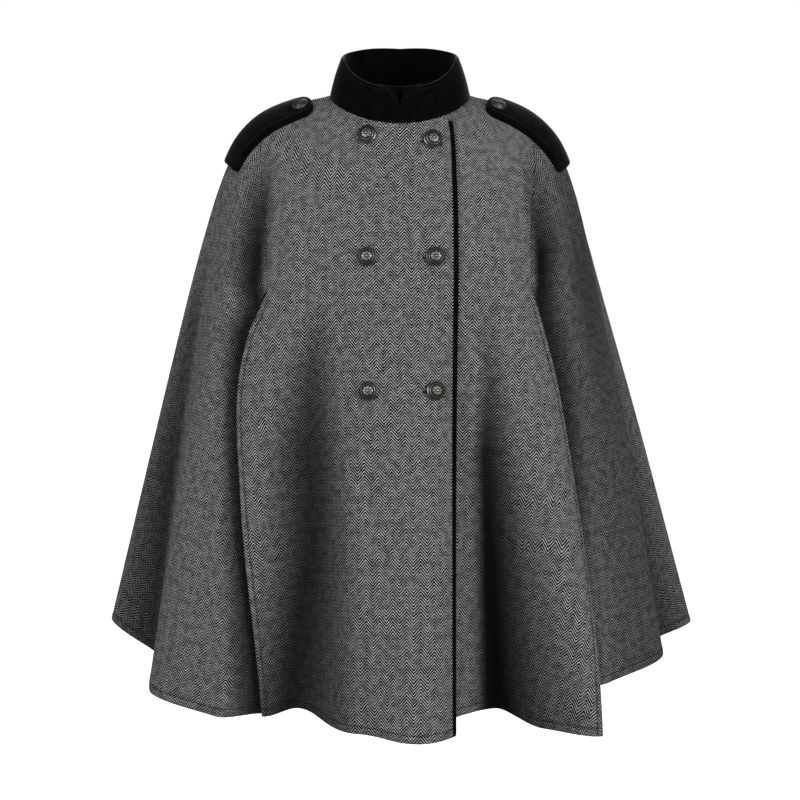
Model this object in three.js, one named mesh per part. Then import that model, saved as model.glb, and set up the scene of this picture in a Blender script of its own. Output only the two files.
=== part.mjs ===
// A double-breasted tweed cape with a black felt stand collar, epaulettes, a
// piped front edge and an arm slit at each side, in the shape it has when worn.
// Millimetres, +Z up, the front towards -Y. Right and left are the wearer's, so
// the right side is at -X. The origin is the middle of the neck seam.
//
// A place on the cloth is a turn and a down. The turn goes round the body from
// the centre front, 0, over the left side, +90 degrees, to the centre back, 180.
// The down goes from the neck seam, 0, to the hem, 1.
import * as THREE from "three";

// Driving dimensions
const CLOTH = 2.4;
const FELT = 4;
const SEAM = 0.3;
const LAYER_GAP = 1;
const COLLAR_END_RISE = 15;
const COLLAR_END_ROUND = 21;
const PIPING_WIDTH = 5.6;
const PIPING_THICKNESS = 3.4;
const PIPING_START = 0.005;
const UNDERLAP_EDGE = -47;
const BUTTON_DIAMETER = 22;
const EPAULETTE_BUTTON_DIAMETER = 18.5;
const EPAULETTE_WIDTH = 45;
const EPAULETTE_THICKNESS = 5.5;
const SEAM_START_WIDTH = 158; // half the width at which the front seams leave the shoulder seams
const SHOULDER_PITCH = 1.55; // 2 for a round shoulder, 1 for a roof

// Rings of the worn shape: half widths and depths, the heights at the front, side
// and back of each ring, and how far it leans to the right.
const SECTIONS = {
  neck: { down: 0, side: 80, front: 76, back: 66, zFront: -17, zSide: 10, zBack: 25, lean: 0 },
  collarbone: { down: 0.055, side: 117, front: 88, back: 80, zFront: -54, zSide: 3, zBack: -2, lean: -1 },
  slope: { down: 0.11, side: 155, front: 101, back: 97, zFront: -93, zSide: -13, zBack: -38, lean: -3 },
  shoulder: { down: 0.16, side: 183, front: 112, back: 110, zFront: -127, zSide: -40, zBack: -75, lean: -3 },
  arm: { down: 0.21, side: 202, front: 121, back: 120, zFront: -160, zSide: -78, zBack: -113, lean: -3 },
  bust: { down: 0.28, side: 220, front: 131, back: 130, zFront: -205, zSide: -130, zBack: -162, lean: -3 },
  elbow: { down: 0.41, side: 246, front: 149, back: 149, zFront: -291, zSide: -226, zBack: -256, lean: -3 },
  wrist: { down: 0.66, side: 291, front: 184, back: 187, zFront: -460, zSide: -410, zBack: -440, lean: -1 },
  hem: { down: 1, side: 350, front: 228, back: 234, zFront: -695, zSide: -668, zBack: -696, lean: 0 },
};
const NECK = SECTIONS.neck;

// Ridges and troughs of the hang, round the hem from the centre back. Each grows
// from its start, in downs, to its full out and lift at the hem.
const FOLDS = [
  { fold: "centre back ridge", turn: -180, out: 8, lift: 0, start: 0.3 },
  { fold: "right back trough", turn: -161, out: -34, lift: 4, start: 0.34 },
  { fold: "right back ridge", turn: -142, out: 6, lift: -2, start: 0.26 },
  { fold: "right rear trough", turn: -119, out: -44, lift: 14, start: 0.3 },
  { fold: "right rear point", turn: -97, out: 9, lift: 41, start: 0.1 },
  { fold: "right side trough", turn: -77, out: -48, lift: 16, start: 0.13 },
  { fold: "right side point", turn: -64, out: -24, lift: -14, start: 0.2 },
  { fold: "right arm ridge", turn: -42, out: -38, lift: -15, start: 0.24 },
  { fold: "right slit trough", turn: -32, out: -64, lift: -12, start: 0.24 },
  { fold: "right front trough", turn: -24, out: -88, lift: -3, start: 0.2 },
  { fold: "right front ridge", turn: -8, out: -8, lift: 2, start: 0.25 },
  { fold: "centre front ridge", turn: 0, out: 4, lift: 0, start: 0.25 },
  { fold: "left front trough", turn: 22, out: -78, lift: 2, start: 0.25 },
  { fold: "left front slope", turn: 29, out: -57, lift: -9, start: 0.25 },
  { fold: "left front ridge", turn: 38, out: -38, lift: -10, start: 0.25 },
  { fold: "left arm trough", turn: 55, out: -60, lift: 3, start: 0.25 },
  { fold: "left side point", turn: 80, out: -27, lift: 11, start: 0.2 },
  { fold: "left side trough", turn: 91, out: -34, lift: 20, start: 0.15 },
  { fold: "left rear point", turn: 103, out: 24, lift: 30, start: 0.2 },
  { fold: "left rear trough", turn: 122, out: -40, lift: 6, start: 0.28 },
  { fold: "left back ridge", turn: 143, out: 5, lift: -2, start: 0.26 },
  { fold: "left back trough", turn: 163, out: -30, lift: 4, start: 0.36 },
];
const FOLD_GROWTH = 1.2;

// Shallow hollows of the upper part, each centred on a turn and a down.
const HOLLOWS = [
  { hollow: "right seam", turn: -48, down: 0.28, reach: 13, span: 0.17, out: -7 },
  { hollow: "left seam", turn: 48, down: 0.26, reach: 12, span: 0.19, out: -7 },
  { hollow: "right shoulder blade", turn: -150, down: 0.3, reach: 20, span: 0.2, out: -4 },
  { hollow: "left shoulder blade", turn: 154, down: 0.28, reach: 20, span: 0.2, out: -4 },
];

// The arm slits by height. Edge is the turn of the front's free edge, under is
// how many degrees the side piece runs behind it, and sink is how far behind.
const SLIT_TOP = 0.32;
const SLIT_REACH = 13;
const SLITS = {
  right: [
    { down: 0.32, edge: 41.6, under: 0, sink: 0 },
    { down: 0.335, edge: 43, under: -0.9, sink: 2.5 },
    { down: 0.36, edge: 45.4, under: -0.2, sink: 8 },
    { down: 0.4, edge: 47.9, under: 3, sink: 15 },
    { down: 0.5, edge: 46.7, under: 4.4, sink: 25 },
    { down: 0.66, edge: 41.2, under: 4.4, sink: 27 },
    { down: 0.83, edge: 36.1, under: 4.2, sink: 21 },
    { down: 1, edge: 32, under: 4, sink: 13 },
  ],
  left: [
    { down: 0.32, edge: 43.4, under: 0, sink: 0 },
    { down: 0.335, edge: 43.8, under: -0.6, sink: 3 },
    { down: 0.36, edge: 44.4, under: -0.2, sink: 8 },
    { down: 0.4, edge: 44.9, under: 1.6, sink: 16 },
    { down: 0.5, edge: 45.9, under: 3, sink: 28 },
    { down: 0.66, edge: 44.3, under: 2.6, sink: 36 },
    { down: 0.83, edge: 41.3, under: 0, sink: 42 },
    { down: 1, edge: 37.5, under: -5, sink: 40 },
  ],
};

// Where one layer swings away from the shared hang: flaps of a single piece.
const FLAPS = {
  front_right: { turn: 10.5, reach: 15, out: 32, start: 0.3 },
  front_left_hem: { turn: 9, reach: 13, out: -18, start: 0.3 },
  front_left_slit: { turn: 38, reach: 17, out: 74, start: 0.33 },
};

// The overlapping front edge, as a distance from the centre front.
const FRONT_EDGE = [
  { down: 0, edge: 53 },
  { down: 0.03, edge: 57 },
  { down: 0.12, edge: 60 },
  { down: 0.3, edge: 61 },
  { down: 1, edge: 59.5 },
];

// Turn of the side seams: at the top of the shoulders, and at the hem.
const SIDE_SEAMS = { right: { top: -90, hem: -79 }, left: { top: 90, hem: 91 } };

const COLLAR = {
  base: { side: 82, front: 77.4, back: 67.4 },
  top: { side: 68, front: 64, back: 57 },
  squareness: 0.12,
};

// The tabs inside the collar's ends, in turns and in rises of the collar. Their
// ends leave a slit between them that is pointed at the top.
const COLLAR_TAB = {
  outerTurn: 21,
  bottom: { rise: 0.04, turn: 3.4 },
  top: { rise: 1.03, turn: 0.5 },
  thickness: 2,
};

// Height of the collar round its turn, in degrees from the centre front.
const COLLAR_RISES = [
  { turn: 0, rise: 39 },
  { turn: 50, rise: 40 },
  { turn: 80, rise: 45 },
  { turn: 105, rise: 47 },
  { turn: 130, rise: 45 },
  { turn: 180, rise: 40 },
];

const FRONT_BUTTONS = [
  { name: "button_right_top", x: -37, z: -31 },
  { name: "button_left_top", x: 37, z: -36 },
  { name: "button_right_middle", x: -37, z: -165 },
  { name: "button_left_middle", x: 40, z: -165 },
  { name: "button_right_bottom", x: -35.5, z: -313 },
  { name: "button_left_bottom", x: 39.5, z: -313 },
];

// The epaulette's middle line on the shoulder, from its round end to its square end.
const EPAULETTE = {
  inner: { turn: 77.5, down: 0.034 },
  outer: { turn: 81, down: 0.197 },
  roundLength: 20,
  cornerRadius: 7,
  edgeThickness: 2.4,
  button: { along: 0.13, across: -7.5 },
};

const COLOURS = { tweed: 0x5c5c5e, felt: 0x101011, pewter: 0x6e6a66 };
const GRID = { rowsAbove: 4, rowsBelow: 19, rowGrowth: 1.2, front: 17, side: 12, back: 34 };

const radians = THREE.MathUtils.degToRad;
const mix = THREE.MathUtils.lerp;
const smooth = (t) => THREE.MathUtils.smoothstep(t, 0, 1);

// A smooth curve through one column of a table, along another of its columns.
function curveOf(table, key, by = "down") {
  const slope = (i) => {
    const before = table[Math.max(i - 1, 0)];
    const after = table[Math.min(i + 1, table.length - 1)];
    return (after[key] - before[key]) / (after[by] - before[by]);
  };
  return (at) => {
    let i = table.findIndex((row) => row[by] > at) - 1;
    if (i < 0) i = at <= table[0][by] ? 0 : table.length - 2;
    const [low, high] = [table[i], table[i + 1]];
    const span = high[by] - low[by];
    const t = (at - low[by]) / span;
    const bend = t * t * (3 - 2 * t);
    return (
      low[key] * (1 - bend) + high[key] * bend +
      span * (slope(i) * t * (1 - t) * (1 - t) - slope(i + 1) * t * t * (1 - t))
    );
  };
}

const curvesOf = (table) =>
  Object.fromEntries(
    Object.keys(table[0])
      .filter((key) => typeof table[0][key] === "number")
      .map((key) => [key, curveOf(table, key)]),
  );

const section = curvesOf(Object.values(SECTIONS));
const slits = { right: curvesOf(SLITS.right), left: curvesOf(SLITS.left) };
const frontEdge = curveOf(FRONT_EDGE, "edge");
const collarRise = curveOf(COLLAR_RISES, "rise", "turn");

// An angle in degrees, from -180 to 180.
function wrapped(turn) {
  const degrees = THREE.MathUtils.radToDeg(turn);
  return degrees - 360 * Math.floor((degrees + 180) / 360);
}

const growth = (down, start) =>
  Math.pow(Math.max(0, (down - start) / (1 - start)), FOLD_GROWTH);

// How far the shared hang stands out from its ring, and how far it is lifted.
function foldAt(turn, down) {
  const degrees = wrapped(turn);
  let i = FOLDS.findIndex((row) => row.turn > degrees) - 1;
  if (i < 0) i = FOLDS.length - 1;
  const [a, b] = [FOLDS[i], FOLDS[(i + 1) % FOLDS.length]];
  const span = (b.turn - a.turn + 360) % 360;
  const share = (1 - Math.cos((Math.PI * (degrees - a.turn)) / span)) / 2;
  const value = (key) =>
    mix(a[key] * growth(down, a.start), b[key] * growth(down, b.start), share);
  return { out: value("out") + hollowAt(degrees, down), lift: value("lift") };
}

function bump(distance, reach) {
  const t = Math.min(1, Math.abs(distance) / reach);
  return (1 - t * t) * (1 - t * t);
}

function hollowAt(degrees, down) {
  let out = 0;
  for (const h of HOLLOWS) {
    out += h.out * bump(degrees - h.turn, h.reach) * bump(down - h.down, h.span);
  }
  return out;
}

const flap = (name, turn, down) => {
  const { turn: middle, reach, out, start } = FLAPS[name];
  return out * growth(down, start) * bump(turn - radians(middle), radians(reach));
};

// The left front lies under the right front until just past the piped edge.
function underlapSink(turn, down) {
  const x = section.side(down) * Math.sin(turn) + section.lean(down);
  const emerging = (x - frontEdge(down) - PIPING_WIDTH - 2) / 32;
  return (CLOTH + LAYER_GAP) * (1 - smooth(emerging));
}

function sideSink(hand, turn, down) {
  if (down <= SLIT_TOP) return 0;
  const { edge, under, sink } = slits[hand];
  const start = radians(edge(down) - under(down));
  return sink(down) * bump(Math.max(0, Math.abs(turn) - start), radians(SLIT_REACH));
}

// What each cloth piece adds to the shared hang, outwards.
const OWN = {
  front_right: (turn, down) => flap("front_right", turn, down),
  front_left: (turn, down) =>
    flap("front_left_hem", turn, down) + flap("front_left_slit", turn, down),
  side_right: (turn, down) => -sideSink("right", turn, down),
  side_left: (turn, down) => -sideSink("left", turn, down),
  back: () => 0,
};

// A place on the shared hang, moved out by a length.
function hangPoint(turn, down, moved) {
  const [s, c] = [Math.sin(turn), Math.cos(turn)];
  const side = section.side(down);
  const depth = c > 0 ? section.front(down) : section.back(down);
  const zEnd = c > 0 ? section.zFront(down) : section.zBack(down);
  const outward = new THREE.Vector3(s / side, -c / depth, 0).normalize();
  const { out, lift } = foldAt(turn, down);
  const x = side * s + section.lean(down);
  const z = mix(section.zSide(down), zEnd, Math.pow(Math.abs(c), SHOULDER_PITCH)) + lift;
  return new THREE.Vector3(x, -depth * c, z).addScaledVector(outward, out + moved);
}

// The outward normal of a surface given as a function of two numbers.
function normalOf(surface, u, v) {
  const step = 1e-3;
  const along = surface(u, v + step).sub(surface(u, v - step));
  const across = surface(u + step, v).sub(surface(u - step, v));
  return along.cross(across).normalize();
}

const sharedHang = (turn, down) => hangPoint(turn, down, 0);

// The outer face of a cloth piece.
function clothPoint(piece, turn, down) {
  const point = hangPoint(turn, down, OWN[piece](turn, down));
  if (piece !== "front_left") return point;
  return point.addScaledVector(normalOf(sharedHang, turn, down), -underlapSink(turn, down));
}

const clothSurface = (piece) => (turn, down) => clothPoint(piece, turn, down);

// Degrees of turn that a length takes at a place on a surface.
function turnFor(surface, turn, down, length) {
  const step = 1e-3;
  const speed = surface(turn + step, down).distanceTo(surface(turn - step, down)) / (2 * step);
  return length / speed;
}

// A closed wall from a grid of places: its outer face lies on the surface moved
// out by outer, and its inner face on the surface moved out by inner.
function wall(surface, columns, rows, place, outer, inner, outwards = normalOf) {
  const points = [];
  for (const offset of [outer, inner]) {
    for (let j = 0; j <= rows; j++) {
      for (let i = 0; i <= columns; i++) {
        const [u, v] = place(i / columns, j / rows, j);
        const distance = typeof offset === "function" ? offset(i / columns, j / rows) : offset;
        points.push(surface(u, v).addScaledVector(outwards(surface, u, v), distance));
      }
    }
  }
  const width = columns + 1;
  const face = width * (rows + 1);
  const triangles = [];
  const quad = (a, b, c, d) => triangles.push(a, b, c, a, c, d);
  for (let j = 0; j < rows; j++) {
    for (let i = 0; i < columns; i++) {
      const at = j * width + i;
      quad(at, at + width, at + width + 1, at + 1);
      quad(face + at, face + at + 1, face + at + width + 1, face + at + width);
    }
  }
  const rim = [];
  for (let i = 0; i < columns; i++) rim.push(i);
  for (let j = 0; j < rows; j++) rim.push(j * width + columns);
  for (let i = columns; i > 0; i--) rim.push(rows * width + i);
  for (let j = rows; j > 0; j--) rim.push(j * width);
  rim.forEach((a, k) => {
    const b = rim[(k + 1) % rim.length];
    quad(a, b, face + b, face + a);
  });
  const geometry = new THREE.BufferGeometry().setFromPoints(points);
  geometry.setIndex(triangles);
  geometry.computeVertexNormals();
  return geometry;
}

function downOfWidth(width) {
  let [low, high] = [0, 1];
  for (let i = 0; i < 40; i++) {
    const middle = (low + high) / 2;
    if (section.side(middle) < width) low = middle;
    else high = middle;
  }
  return low;
}

const SEAM_START = downOfWidth(SEAM_START_WIDTH);
const SIDE_TOP = SEAM_START + 0.004;

// Heights of the grid's rows, shared by all cloth pieces so that seams match.
function rowHeights() {
  const above = [];
  for (let j = 0; j <= GRID.rowsAbove; j++) above.push((SEAM_START * j) / GRID.rowsAbove);
  const below = [];
  for (let j = 1; j <= GRID.rowsBelow; j++) {
    below.push(mix(SIDE_TOP, 1, Math.pow(j / GRID.rowsBelow, GRID.rowGrowth)));
  }
  return [...above, SIDE_TOP, ...below, SLIT_TOP].sort((a, b) => a - b);
}
const ROWS = rowHeights();

// Turn of the seam between a front and its side piece, and of the slit below it.
function frontSeam(hand, down) {
  if (down <= SEAM_START) return Math.PI / 2;
  if (down >= SLIT_TOP) return radians(slits[hand].edge(down));
  const slitWidth = section.side(SLIT_TOP) * Math.sin(radians(SLITS[hand][0].edge));
  const width = mix(SEAM_START_WIDTH, slitWidth, (down - SEAM_START) / (SLIT_TOP - SEAM_START));
  return Math.asin(Math.min(1, width / section.side(down)));
}

const sidePieceEdge = (hand, down) =>
  frontSeam(hand, down) - (down > SLIT_TOP ? radians(slits[hand].under(down)) : 0);

const sideSeam = (hand, down) =>
  radians(mix(SIDE_SEAMS[hand].top, SIDE_SEAMS[hand].hem, Math.max(0, down - SIDE_TOP)));

const turnOfX = (x, down) => Math.asin((x - section.lean(down)) / section.side(down));

// Each cloth piece: its first row, and its two edges as turns at a height.
const PIECES = {
  front_right: {
    columns: GRID.front,
    top: 0,
    edges: (down) => [-frontSeam("right", down), turnOfX(frontEdge(down), down)],
  },
  front_left: {
    columns: GRID.front,
    top: 0,
    edges: (down) => [turnOfX(UNDERLAP_EDGE, down), frontSeam("left", down)],
  },
  side_right: {
    columns: GRID.side,
    top: SIDE_TOP,
    edges: (down) => [sideSeam("right", down), -sidePieceEdge("right", down)],
  },
  side_left: {
    columns: GRID.side,
    top: SIDE_TOP,
    edges: (down) => [sidePieceEdge("left", down), sideSeam("left", down)],
  },
  back: {
    columns: GRID.back,
    top: 0,
    edges: (down) => [sideSeam("left", down), 2 * Math.PI + sideSeam("right", down)],
  },
};

function clothPiece(name) {
  const { columns, top, edges } = PIECES[name];
  const surface = clothSurface(name);
  const heights = ROWS.filter((down) => down >= top);
  const place = (across, _, row) => {
    const down = heights[row];
    const [a, b] = edges(down);
    const from = a + turnFor(surface, a, down, SEAM / 2);
    const to = b - turnFor(surface, b, down, SEAM / 2);
    return [mix(from, to, across), down];
  };
  return wall(surface, columns, heights.length - 1, place, 0, -CLOTH);
}

// The piping carries on from the right front's edge, a little proud of it.
function piping() {
  const surface = clothSurface("front_right");
  const place = (across, _, row) => {
    const down = Math.max(PIPING_START, ROWS[row]);
    const start = turnOfX(frontEdge(down), down);
    const distance = SEAM / 2 + across * PIPING_WIDTH;
    return [start + turnFor(surface, start, down, distance), down];
  };
  const crown = (across) => 0.2 + 0.8 * Math.sin(Math.PI * across);
  const below = (across) => crown(across) - PIPING_THICKNESS + 0.6 * Math.sin(Math.PI * across);
  return wall(surface, 4, ROWS.length - 1, place, crown, (across) => Math.max(-CLOTH, below(across)));
}

// The collar's outer face: rise goes from the neck seam, 0, to the full height, 1.
function collarPoint(turn, rise) {
  const [s, c] = [Math.sin(turn), Math.cos(turn)];
  const size = (key) => mix(COLLAR.base[key], COLLAR.top[key], rise);
  const square = (t) => Math.sign(t) * Math.pow(Math.abs(t), 1 - COLLAR.squareness * rise);
  const zEnd = c > 0 ? NECK.zFront : NECK.zBack;
  const seam = mix(NECK.zSide, zEnd, Math.pow(Math.abs(c), SHOULDER_PITCH));
  return new THREE.Vector3(
    size("side") * square(s),
    -(c > 0 ? size("front") : size("back")) * square(c),
    seam + SEAM + collarRise(Math.abs(wrapped(turn))) * rise,
  );
}

function collarOutward(turn) {
  const { side, front, back } = COLLAR.base;
  const depth = Math.cos(turn) > 0 ? front : back;
  return new THREE.Vector3(Math.sin(turn) / side, -Math.cos(turn) / depth, 0).normalize();
}

const collarSurface = (turn, fall) => collarPoint(turn, 1 - fall);

// The collar's ends are rounded off at the centre front.
function collarTop(turn) {
  const x = Math.abs(COLLAR.top.side * Math.sin(turn));
  if (Math.cos(turn) < 0 || x > COLLAR_END_ROUND) return 1;
  const t = 1 - x / COLLAR_END_ROUND;
  const endShare = COLLAR_END_RISE / COLLAR_RISES[0].rise;
  return mix(endShare, 1, Math.sqrt(1 - t * t));
}

function collar() {
  const endTurn = radians(0.15);
  const place = (across, fall) => {
    const eased = across - 0.11 * Math.sin(2 * Math.PI * across);
    const turn = mix(endTurn, 2 * Math.PI - endTurn, eased);
    return [turn, 1 - collarTop(turn) * (1 - fall)];
  };
  const outwards = (_, turn) => collarOutward(turn);
  return wall(collarSurface, 38, 4, place, 0, -FELT, outwards);
}

// The small tab inside each collar end, which closes the notch between them.
function collarTab(hand) {
  const { outerTurn, bottom, top, thickness } = COLLAR_TAB;
  const outer = radians(outerTurn);
  const place = (across, fall) => {
    const inner = radians(mix(bottom.turn, top.turn, fall));
    const turn = hand === "left" ? mix(inner, outer, across) : mix(-outer, -inner, across);
    return [turn, mix(bottom.rise, top.rise, fall)];
  };
  const outwards = (_, turn) => collarOutward(turn);
  const offset = -FELT - SEAM;
  return wall(collarSurface, 5, 3, place, offset, offset - thickness, outwards);
}

const epaulettePlace = (hand, along, across) => {
  const surface = clothSurface("back");
  const { inner, outer } = EPAULETTE;
  const down = mix(inner.down, outer.down, along);
  const middle = radians(mix(inner.turn, outer.turn, along));
  const turn = middle + turnFor(surface, middle, down, across);
  return [hand === "left" ? turn : -turn, down];
};

function epauletteLength() {
  const surface = clothSurface("back");
  const steps = 20;
  let length = 0;
  for (let i = 0; i < steps; i++) {
    const a = surface(...epaulettePlace("left", i / steps, 0));
    length += a.distanceTo(surface(...epaulettePlace("left", (i + 1) / steps, 0)));
  }
  return length;
}

// Half the epaulette's width at a share of its length: round at the neck, square at the arm.
function epauletteHalfWidth(along, length) {
  const half = EPAULETTE_WIDTH / 2;
  const { roundLength, cornerRadius } = EPAULETTE;
  const fromRound = Math.min(1, (along * length) / roundLength);
  const fromSquare = Math.min(1, ((1 - along) * length) / cornerRadius);
  const rounded = half * Math.sqrt(1 - (1 - fromRound) ** 2);
  return Math.max(2, rounded - cornerRadius * (1 - Math.sqrt(1 - (1 - fromSquare) ** 2)));
}

function epaulette(hand) {
  const surface = clothSurface("back");
  const length = epauletteLength();
  const acrossSign = hand === "left" ? 1 : -1;
  const place = (across, share) => {
    const along = share - 0.07 * Math.sin(2 * Math.PI * share);
    const half = epauletteHalfWidth(along, length);
    return epaulettePlace(hand, along, acrossSign * mix(-half, half, across));
  };
  const { edgeThickness } = EPAULETTE;
  const outer = (across) => {
    const crown = Math.sqrt(1 - (2 * across - 1) ** 4);
    return SEAM + edgeThickness + (EPAULETTE_THICKNESS - edgeThickness) * crown;
  };
  return wall(surface, 6, 20, place, outer, SEAM);
}

// A domed metal button with a rim and a short shank, its back at the origin.
function buttonGeometry(diameter, height) {
  const r = diameter / 2;
  const shank = { radius: 2.6, height: 1.8 };
  const profile = [
    [0, 0],
    [shank.radius, 0],
    [shank.radius, shank.height],
    [0.86 * r, shank.height],
    [r, shank.height + 0.1 * height],
    [r, shank.height + 0.24 * height],
    [0.88 * r, shank.height + 0.38 * height],
    [0.7 * r, mix(shank.height, height, 0.74)],
    [0.4 * r, mix(shank.height, height, 0.93)],
    [0, height],
  ];
  return new THREE.LatheGeometry(profile.map(([x, y]) => new THREE.Vector2(x, y)), 18);
}

function finish(name, colour, roughness, metalness) {
  return new THREE.MeshStandardMaterial({ name, color: colour, roughness, metalness });
}
const TWEED = finish("tweed", COLOURS.tweed, 0.95, 0);
const BLACK_FELT = finish("felt", COLOURS.felt, 0.95, 0);
const PEWTER = finish("pewter", COLOURS.pewter, 0.4, 0.9);

function named(name, geometry, material) {
  const mesh = new THREE.Mesh(geometry, material);
  mesh.name = name;
  return mesh;
}

// A button whose axis is the normal at a place on a surface, lifted off it.
function buttonAt(name, surface, turn, down, lift, diameter, height) {
  const mesh = named(name, buttonGeometry(diameter, height), PEWTER);
  const normal = normalOf(surface, turn, down);
  mesh.position.copy(surface(turn, down)).addScaledVector(normal, lift);
  mesh.quaternion.setFromUnitVectors(new THREE.Vector3(0, 1, 0), normal);
  return mesh;
}

// The place on the right front with a given x and height.
function placeOnFront(x, z) {
  let [low, high] = [0, 1];
  for (let i = 0; i < 40; i++) {
    const middle = (low + high) / 2;
    if (clothPoint("front_right", turnOfX(x, middle), middle).z > z) low = middle;
    else high = middle;
  }
  return [turnOfX(x, low), low];
}

const cape = new THREE.Group();
for (const name of Object.keys(PIECES)) cape.add(named(name, clothPiece(name), TWEED));
cape.add(named("piping", piping(), BLACK_FELT));
cape.add(named("collar", collar(), BLACK_FELT));
for (const hand of ["right", "left"]) {
  cape.add(named("collar_tab_" + hand, collarTab(hand), BLACK_FELT));
  cape.add(named("epaulette_" + hand, epaulette(hand), BLACK_FELT));
  const place = epaulettePlace(hand, EPAULETTE.button.along, EPAULETTE.button.across);
  const lift = EPAULETTE_THICKNESS + 2 * SEAM + 0.2;
  const name = "button_epaulette_" + hand;
  cape.add(buttonAt(name, clothSurface("back"), ...place, lift, EPAULETTE_BUTTON_DIAMETER, 6));
}
for (const { name, x, z } of FRONT_BUTTONS) {
  const surface = clothSurface("front_right");
  cape.add(buttonAt(name, surface, ...placeOnFront(x, z), SEAM, BUTTON_DIAMETER, 9.5));
}

export default cape;
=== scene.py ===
"""A double-breasted herringbone cape with a black felt collar, dressed on its solids.

Lengths are in millimetres until a mesh is made, and right and left are the
wearer's. A place on the cloth is a turn and a down: the turn goes round the body
from the centre front over the left side to the centre back, and the down goes
from the neck seam, 0, to the hem, 1.
"""

import logging
import math
from dataclasses import dataclass, field
from enum import Enum
from typing import Any, Callable, Sequence

import bpy
import numpy as np
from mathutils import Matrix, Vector


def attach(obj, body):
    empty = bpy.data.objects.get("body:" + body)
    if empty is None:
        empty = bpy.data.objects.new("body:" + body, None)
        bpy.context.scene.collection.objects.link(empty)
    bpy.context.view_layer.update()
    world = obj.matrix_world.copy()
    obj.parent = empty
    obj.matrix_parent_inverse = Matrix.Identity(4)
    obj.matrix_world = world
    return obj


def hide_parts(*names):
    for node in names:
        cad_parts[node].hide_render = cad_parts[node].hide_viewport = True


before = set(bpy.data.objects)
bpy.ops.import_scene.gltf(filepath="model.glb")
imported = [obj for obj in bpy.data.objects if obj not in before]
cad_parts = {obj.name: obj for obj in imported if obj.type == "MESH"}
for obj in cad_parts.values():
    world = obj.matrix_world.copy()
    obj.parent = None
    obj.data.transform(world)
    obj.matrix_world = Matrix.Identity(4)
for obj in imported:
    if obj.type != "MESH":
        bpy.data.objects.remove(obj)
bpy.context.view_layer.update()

log = logging.getLogger("cape")

MM = 0.001
WEAVE_MAP = "grain"
HOLLOW_ATTRIBUTE = "hollow"
SHADE_ATTRIBUTE = "shade"
FACING_ATTRIBUTE = "facing"
PROBE = 1e-3  # the small change of a turn or a down that slopes are measured over
HALVINGS = 40  # how often a range is halved to find a place in it

Array = np.ndarray
Surface = Callable[[Array, Array], Array]
Colour = tuple[float, float, float, float]
WHITE: Colour = (1, 1, 1, 1)


class Hand(Enum):
    """The wearer's side that a piece is on."""

    RIGHT = "right"
    LEFT = "left"

    @property
    def sign(self) -> int:
        """The side's sign along X."""
        return -1 if self is Hand.RIGHT else 1


# ---------------------------------------------------------------- the cape's form


@dataclass(frozen=True)
class Ring:
    """One level of the worn shape: half widths and depths, heights and lean."""

    down: float
    side: float
    front: float
    back: float
    z_front: float
    z_side: float
    z_back: float
    lean: float


@dataclass(frozen=True)
class Fold:
    """A ridge or trough of the hang, with how far it stands out at the hem."""

    name: str
    turn: float
    out: float
    lift: float
    start: float


@dataclass(frozen=True)
class Hollow:
    """A shallow dip of the upper part, centred on a turn and a down."""

    name: str
    turn: float
    down: float
    reach: float
    span: float
    out: float


@dataclass(frozen=True)
class Crease:
    """A soft trough or ridge in the cloth from one place to another."""

    name: str
    from_turn: float
    from_down: float
    to_turn: float
    to_down: float
    width: float
    out: float


@dataclass(frozen=True)
class ShadowRow:
    """One level of a shadow: its middle, how far it reaches each way, how dark."""

    down: float
    turn: float
    before: float
    after: float
    dark: float


class Shadow:
    """The soft shade that lies in a fold, from its top row to its last."""

    def __init__(self, name: str, *rows: ShadowRow, on: str = "") -> None:
        """Sets up the shadow.

        Args:
            name: The fold it lies in.
            rows: Its levels, from the top down.
            on: The one piece it lies on, or none for all of them.
        """
        self.name = name
        self.rows = rows
        self.on = on

    def at(self, degrees: Array, down: Array) -> Array:
        """Reads the shadow.

        Args:
            degrees: Turns in degrees.
            down: Downs.

        Returns:
            How dark it is at each place, from 0 to 1 or a little over.
        """
        levels = [row.down for row in self.rows]

        def size(key: str) -> Array:
            """One of the rows' sizes at each place."""
            return np.interp(down, levels, [getattr(row, key) for row in self.rows])

        away = (degrees - size("turn") + 180) % 360 - 180
        reach = np.where(away < 0, size("before"), size("after"))
        return size("dark") * bump(away / reach, 1) * (down >= levels[0])


@dataclass(frozen=True)
class SlitRow:
    """One level of an arm slit: the front's edge, and the piece behind it."""

    down: float
    edge: float
    under: float
    sink: float


@dataclass(frozen=True)
class Flap:
    """Where one layer swings away from the shared hang."""

    turn: float
    reach: float
    out: float
    start: float


RINGS = (
    Ring(0, 80, 76, 66, -17, 10, 25, 0),
    Ring(0.055, 117, 88, 80, -54, 3, -2, -1),
    Ring(0.11, 155, 101, 97, -93, -13, -38, -3),
    Ring(0.16, 183, 112, 110, -127, -40, -75, -3),
    Ring(0.21, 202, 121, 120, -160, -78, -113, -3),
    Ring(0.28, 220, 131, 130, -205, -130, -162, -3),
    Ring(0.41, 246, 149, 149, -291, -226, -256, -3),
    Ring(0.66, 291, 184, 187, -460, -410, -440, -1),
    Ring(1, 350, 228, 234, -695, -668, -696, 0),
)

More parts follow.
